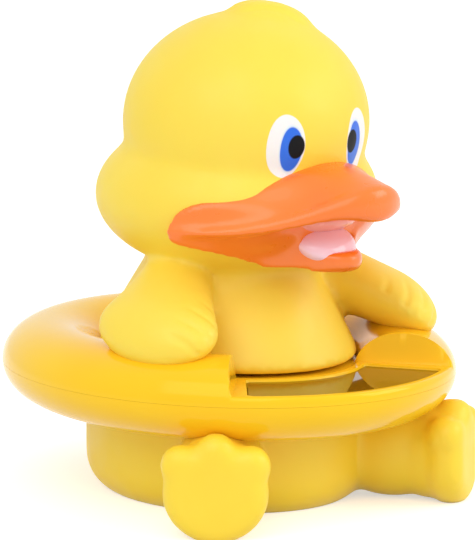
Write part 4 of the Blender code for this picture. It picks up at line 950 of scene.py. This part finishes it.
    def lower_loop(self, turn: float) -> list[Vector]:
        """Section of the lower bill, whose side rises and leans out to meet the upper lip.

        Args:
            turn: Angle from the front.

        Returns:
            The loop's points.
        """
        low = self.low_z(turn)
        closed = ease((abs(turn) - self.part_turn) / (self.meet_turn - self.part_turn))
        top = low + self.lower_roll
        top += (self.roll_low_z(turn) + self.meet_rise - top) * closed
        under = self.lip(turn, self.lower_reach, self.lower_half_width, self.lower_flare)
        over = self.lip(turn, self.upper_reach - self.rim_inset[1], self.upper_half_width - self.rim_inset[0],
                        self.upper_flare)
        lean = self.lean * ease((abs(turn) - self.lean_turn) / (self.full_lean_turn - self.lean_turn))
        rim = between(under, over, lean)
        root = self.root(turn * self.root_spread, self.lower_inset)
        dish = self.dish * max(0.0, 1 - (top - low) / (2 * self.lower_roll))
        points = []
        for step in range(15):
            share = step / 14
            points.append(spot(*between(root, rim, share * self.rim_reach),
                               top - dish * math.sin(math.pi * share ** 1.5)))
        for height, bulge in self.beads():
            rise = 0.5 + 0.5 * height
            reach = self.keel_reach + (1 - self.keel_reach) * bulge
            z = low + (top - low) * rise
            plan = between(root, between(under, rim, rise ** 2.5), reach)
            points.append(spot(*self.clear(plan, z, self.wall_rise), z))
        for step in range(15):
            points.append(spot(*between(root, under, self.keel_reach * (1 - step / 14)),
                               low + self.root_rise * step / 14))
        return points

    def lining_loop(self, turn: float) -> list[Vector]:
        """Section of the mouth's inner wall, from the tongue's bed to the upper bill."""
        top = self.roll_low_z(turn) + self.wall_rise
        low = self.low_z(turn) + self.lining_low
        inner = self.root(turn * self.lining_spread, 2 * self.root_depth)
        face = [low + (top - low) * step / 12 for step in range(13)]
        outer = [spot(*self.clear(inner, z, self.lining_rise), z) for z in face]
        return outer + [spot(*inner, z) for z in reversed(face)]

    def clear(self, plan: Plan, z: float, rise: float) -> Plan:
        """Plan point moved out until it stands off the cheeks at its height.

        Args:
            plan: Sideways and forward place.
            z: Height.
            rise: Distance kept outside the cheeks.

        Returns:
            The same point, or one further out in the same direction.
        """
        level = 1 - ((z - CHEEKS.z) / CHEEKS.radii[2]) ** 2
        radius = CHEEKS.radii[0] * math.sqrt(max(level, 0.0)) + rise
        forward = plan[1] - CHEEKS.forward
        scale = max(1.0, radius / max(math.hypot(plan[0], forward), 0.001))
        return plan[0] * scale, CHEEKS.forward + forward * scale

    def swing(self, item: Item) -> None:
        """Turn a piece with the head about the middle of the cheeks."""
        with opened(item) as bm:
            bmesh.ops.rotate(bm, verts=bm.verts[:], cent=spot(0.0, CHEEKS.forward, 0.0),
                             matrix=Matrix.Rotation(self.turn, 3, "Z"))

    def build(self) -> None:
        """Build, dress and tie the bill and the tongue."""
        bm = bmesh.new()
        turns = [math.pi * (step / self.steps - 0.5) for step in range(self.steps + 1)]
        for section in (self.upper_loop, self.lower_loop, self.lining_loop):
            loft(bm, [section(turn) for turn in turns])
        bill = make_piece("duck_bill", bm)
        blend_lobes(bill, self.voxel, self.passes)
        self.swing(bill)
        orange = Gloss("bill_orange", (1.0, 0.235, 0.022), (0.99, 0.20, 0.018), 0.32, 0.2, 0.04)
        seat_piece(bill, orange.material(), "vinyl_yellow", "duck_figure")
        pink = Gloss("tongue_pink", (1.0, 0.68, 0.76), (1.0, 0.64, 0.72), 0.22, 0.3, 0.04)
        rose = Gloss("palate_rose", (1.0, 0.40, 0.30), (1.0, 0.36, 0.27), 0.26, 0.3, 0.04)
        for name, lobe, finish in (("duck_tongue", self.tongue, pink), ("duck_palate", self.palate, rose)):
            bm = bmesh.new()
            lobe.add(bm)
            piece = make_piece(name, bm)
            self.swing(piece)
            seat_piece(piece, finish.material(), "vinyl_yellow", "duck_figure")


@dataclass
class Seat:
    """Vinyl seat under the ring: the tub, two legs and two webbed feet."""

    half_width: float = 0.0315
    half_length: float = 0.0360
    edge: float = 0.0075
    top_z: float = 0.0293
    foot_angle: float = 38.2
    foot_reach: float = 0.0583
    foot_thickness: float = 0.0085
    foot_half_width: float = 0.0117
    foot_height: float = 0.0235
    toe_radius: float = 0.0046
    toe_spacing: float = 0.0076
    toe_drop: float = 0.0026
    rim_share: float = 0.8
    foot_sink: float = 0.0005
    floor_sink: float = 0.001
    leg_root: float = 0.0146
    leg_radii: Triple = (0.0100, 0.0157, 0.0118)
    ankle_root: float = 0.0055
    ankle_radii: Triple = (0.0098, 0.0075, 0.0112)
    clearance: float = 0.0003
    well_radius: float = 0.0029
    door_corner: float = 0.0030
    voxel: float = 0.0010
    passes: int = 4

    def add_disc(self, bm: Mesh, half_x: float, half_y: float, half_z: float, edge: float,
                 matrix: Matrix) -> None:
        """Thick upright oval disc with rounded rims."""
        rims = [(half_y - rise, inset) for rise, inset in quarter(6, edge)]
        rows = sorted([(-depth, shrink) for depth, shrink in rims] + rims)
        loops = []
        for depth, shrink in rows:
            loop = oval(half_x - shrink, half_z - shrink, 0.0, 64)
            loops.append([matrix @ Vector((point.x, depth, point.y)) for point in loop])
        loft(bm, loops)

    def add_foot(self, bm: Mesh, side: Side) -> None:
        """Webbed foot standing on its heel with three toes up, and its leg."""
        angle = math.radians(self.foot_angle) * side.value
        reach = self.foot_reach - self.foot_thickness / 2
        heel = Matrix.Translation(spot(reach * math.sin(angle), reach * math.cos(angle), 0.0))
        heel = heel @ Matrix.Rotation(angle, 4, "Z")
        half_z = (self.foot_height - self.toe_radius / 2) / 2
        half_y = self.foot_thickness / 2
        edge = half_y * self.rim_share
        self.add_disc(bm, self.foot_half_width, half_y, half_z + self.foot_sink, edge,
                      heel @ Matrix.Translation((0.0, 0.0, half_z - self.foot_sink)))
        for toe in (-1, 0, 1):
            height = self.foot_height - self.toe_radius - (self.toe_drop if toe else 0.0)
            self.add_disc(bm, self.toe_radius, half_y, self.toe_radius, edge,
                          heel @ Matrix.Translation((toe * self.toe_spacing, 0.0, height)))
        for root, radii in ((self.leg_root, self.leg_radii), (self.ankle_root, self.ankle_radii)):
            leg = heel @ Matrix.Translation((0.0, root, radii[2]))
            leg = leg @ Matrix.Diagonal((*radii, 1.0))
            bmesh.ops.create_icosphere(bm, subdivisions=5, radius=1.0, matrix=leg)

    def build_block(self) -> Item:
        """Blend the tub, legs and feet and trim them flat at the floor."""
        bm = bmesh.new()
        rows = [(rise - self.floor_sink * (1 - step / 8), inset)
                for step, (rise, inset) in enumerate(quarter(8, self.edge))]
        rows.append((self.top_z, 0.0))
        loft(bm, [oval(self.half_width - shrink, self.half_length - shrink, z) for z, shrink in rows])
        for side in Side:
            self.add_foot(bm, side)
        block = make_piece("duck_base", bm)
        blend_lobes(block, self.voxel, self.passes)
        trim = bmesh.new()
        matrix = Matrix.Translation((0.0, 0.0, -0.02)) @ Matrix.Diagonal((0.2, 0.2, 0.04, 1.0))
        bmesh.ops.create_cube(trim, size=1.0, matrix=matrix)
        carve(block, "trim", trim)
        return block

    def carve_underside(self, block: Item, nodes: Nodes) -> None:
        """Sink the door, the sensor and the screw wells into the underside, placed by their CAD nodes."""
        low, high = node_box(nodes["battery_door"])
        bm = bmesh.new()
        outline = rounded((high.x - low.x) / 2 + self.clearance, (high.y - low.y) / 2 + self.clearance,
                          self.door_corner + self.clearance)
        middle = (low + high) / 2
        loft(bm, [[Vector((middle.x + x, middle.y + y, z)) for x, y in outline]
                  for z in (-self.well_radius, high.z + self.clearance)])
        carve(block, "door_rebate", bm)
        for name, node in nodes.items():
            if not name.startswith(("shell_screw", "sensor_cap")):
                continue
            low, high = node_box(node)
            screw = name.startswith("shell_screw")
            radius = self.well_radius if screw else (high.x - low.x) / 2 + self.clearance
            middle = (low + high) / 2
            bm = bmesh.new()
            matrix = Matrix.Translation((middle.x, middle.y, high.z / 2 - self.clearance))
            bmesh.ops.create_cone(bm, cap_ends=True, segments=64, radius1=radius, radius2=radius,
                                  depth=high.z + 4 * self.clearance, matrix=matrix)
            carve(block, "well", bm)

    def build(self, nodes: Nodes) -> None:
        """Build, dress and tie the seat."""
        block = self.build_block()
        self.carve_underside(block, nodes)
        block.data.shade_smooth()
        block.data.set_sharp_from_angle(angle=math.radians(50.0))
        finish = Vinyl("seat_vinyl", (1.0, 0.735, 0.045), (1.0, 0.70, 0.038), 0.46)
        seat_piece(block, finish.material(), "vinyl_yellow", "duck_seat")


@dataclass
class InnerParts:
    """Pieces of the frame that keep their shape and get a finish of their own."""

    finishes: dict[str, object] = field(default_factory=lambda: {
        "display_bezel": Matt("mask_print", (0.012, 0.011, 0.010), 0.55),
        "lcd_glass": Gloss("lcd_face", (0.30, 0.33, 0.24), (0.28, 0.31, 0.22), 0.12),
        "elastomer_connector": Matt("zebra_strip", (0.05, 0.05, 0.05), 0.7),
        "circuit_board": Matt("solder_mask", (0.01, 0.12, 0.035), 0.35, 300.0),
        "driver_chip": Matt("moulded_resin", (0.012, 0.012, 0.012), 0.4),
        "ring_seal": Matt("seal_rubber", (0.03, 0.03, 0.03), 0.75),
        "door_seal": Matt("door_rubber", (0.03, 0.03, 0.03), 0.75),
        "battery_door": Vinyl("door_plastic", (0.96, 0.62, 0.05), (0.94, 0.59, 0.045), 0.38),
        "sensor_cap": Metal("sensor_steel", (0.72, 0.72, 0.73), 0.22),
        "thermistor": Matt("bead_resin", (0.02, 0.02, 0.02), 0.4),
        "sensor_lead": Matt("grey_sleeve", (0.20, 0.20, 0.21), 0.5),
        "battery_lead_red": Matt("red_sleeve", (0.42, 0.01, 0.01), 0.45),
        "battery_lead_black": Matt("black_sleeve", (0.015, 0.015, 0.015), 0.45),
    })
    steel: Metal = Metal("screw_steel", (0.62, 0.62, 0.63), 0.3)
    nickel: Metal = Metal("cell_nickel", (0.70, 0.68, 0.64), 0.2)

    def build(self, nodes: Nodes) -> None:
        """Dress every CAD node that stays visible."""
        steel = self.steel.material()
        nickel = self.nickel.material()
        for name, finish in self.finishes.items():
            dress(nodes[name], finish.material())
        for name, node in nodes.items():
            if "_screw_" in name:
                dress(node, steel)
            elif name.startswith(("battery_cell", "contact_")):
                dress(node, nickel)
        LOG.info("inner parts: %d nodes dressed", len(nodes))


@dataclass
class Studio:
    """Floor, light and camera of a plain product photograph."""

    azimuth: float = -35.54
    elevation: float = 9.27
    distance: float = 0.8
    aim: Triple = (0.0, 0.0, 0.05)
    sensor: float = 24.0
    lens: float = 153.24
    shift: Plan = ((237.5 - 227.15) / 540, (273.32 - 270.0) / 540)
    world_light: float = 0.74
    floor_glow: float = 0.52
    lamps: tuple[tuple[str, Triple, Plan, float], ...] = (
        ("key", (-0.55, -0.35, 0.62), (0.8, 0.6), 2.48),
        ("fill", (0.55, -0.55, 0.45), (0.5, 0.5), 2.2),
    )

    def aim_from(self, place: Sequence[float], data: bpy.types.Camera | bpy.types.Light) -> Item:
        """Add a camera or a lamp that looks at the duck."""
        item = bpy.data.objects.new(data.name, data)
        item.location = place
        item.rotation_euler = (Vector(self.aim) - Vector(place)).to_track_quat("-Z", "Y").to_euler()
        bpy.context.scene.collection.objects.link(item)
        return item

    def place_camera(self) -> None:
        """Camera at the photograph's viewing angle."""
        turn = math.radians(self.azimuth)
        tilt = math.radians(self.elevation)
        back = Vector((math.sin(turn) * math.cos(tilt), -math.cos(turn) * math.cos(tilt), math.sin(tilt)))
        data = bpy.data.cameras.new("camera")
        data.sensor_fit = "VERTICAL"
        data.sensor_height = self.sensor
        data.lens = self.lens
        data.shift_x, data.shift_y = self.shift
        bpy.context.scene.camera = self.aim_from(Vector(self.aim) + back * self.distance, data)

    def add_softbox(self, name: str, place: Triple, size: Plan, power: float) -> None:
        """Rectangular area lamp that faces the duck."""
        data = bpy.data.lights.new(name, "AREA")
        data.shape = "RECTANGLE"
        data.size, data.size_y = size
        data.energy = power
        self.aim_from(place, data)

    def light_world(self) -> None:
        """White surroundings, dimmer as light than as a background."""
        world = bpy.data.worlds.new("studio")
        bpy.context.scene.world = world
        bench = Bench(world)
        strength = bench.node("MapRange", {"Value": bench.seen_directly(), "To Min": self.world_light})
        background = bench.tree.nodes["Background"]
        bench.link(strength, background.inputs["Strength"])
        bench.link((1.0, 1.0, 1.0), background.inputs["Color"])

    def lay_floor(self) -> None:
        """Pale floor that shows white and keeps the duck's shadow."""
        bm = bmesh.new()
        bmesh.ops.create_grid(bm, x_segments=1, y_segments=1, size=4.0)
        floor = make_piece("floor", bm)
        bench = start_material("floor_white")
        glow = bench.calc("MULTIPLY", bench.seen_directly(), self.floor_glow)
        bench.set(base_color=(0.80, 0.80, 0.80), roughness=0.9, specular_ior_level=0.0,
                  emission_color=(1.0, 1.0, 1.0), emission_strength=glow)
        dress(floor, bench.owner)

    def build(self) -> None:
        """Set up floor, light and camera."""
        self.lay_floor()
        self.light_world()
        for lamp in self.lamps:
            self.add_softbox(*lamp)
        self.place_camera()
        bpy.context.scene.view_settings.view_transform = "Standard"


def main() -> None:
    """Build the pieces in order."""
    logging.basicConfig(level=logging.INFO, format="%(message)s")
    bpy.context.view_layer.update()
    Ring().build()
    Figure().build()
    Bill().build()
    Seat().build(frame["nodes"])
    InnerParts().build(frame["nodes"])
    Studio().build()


if __name__ == "__main__":
    main()
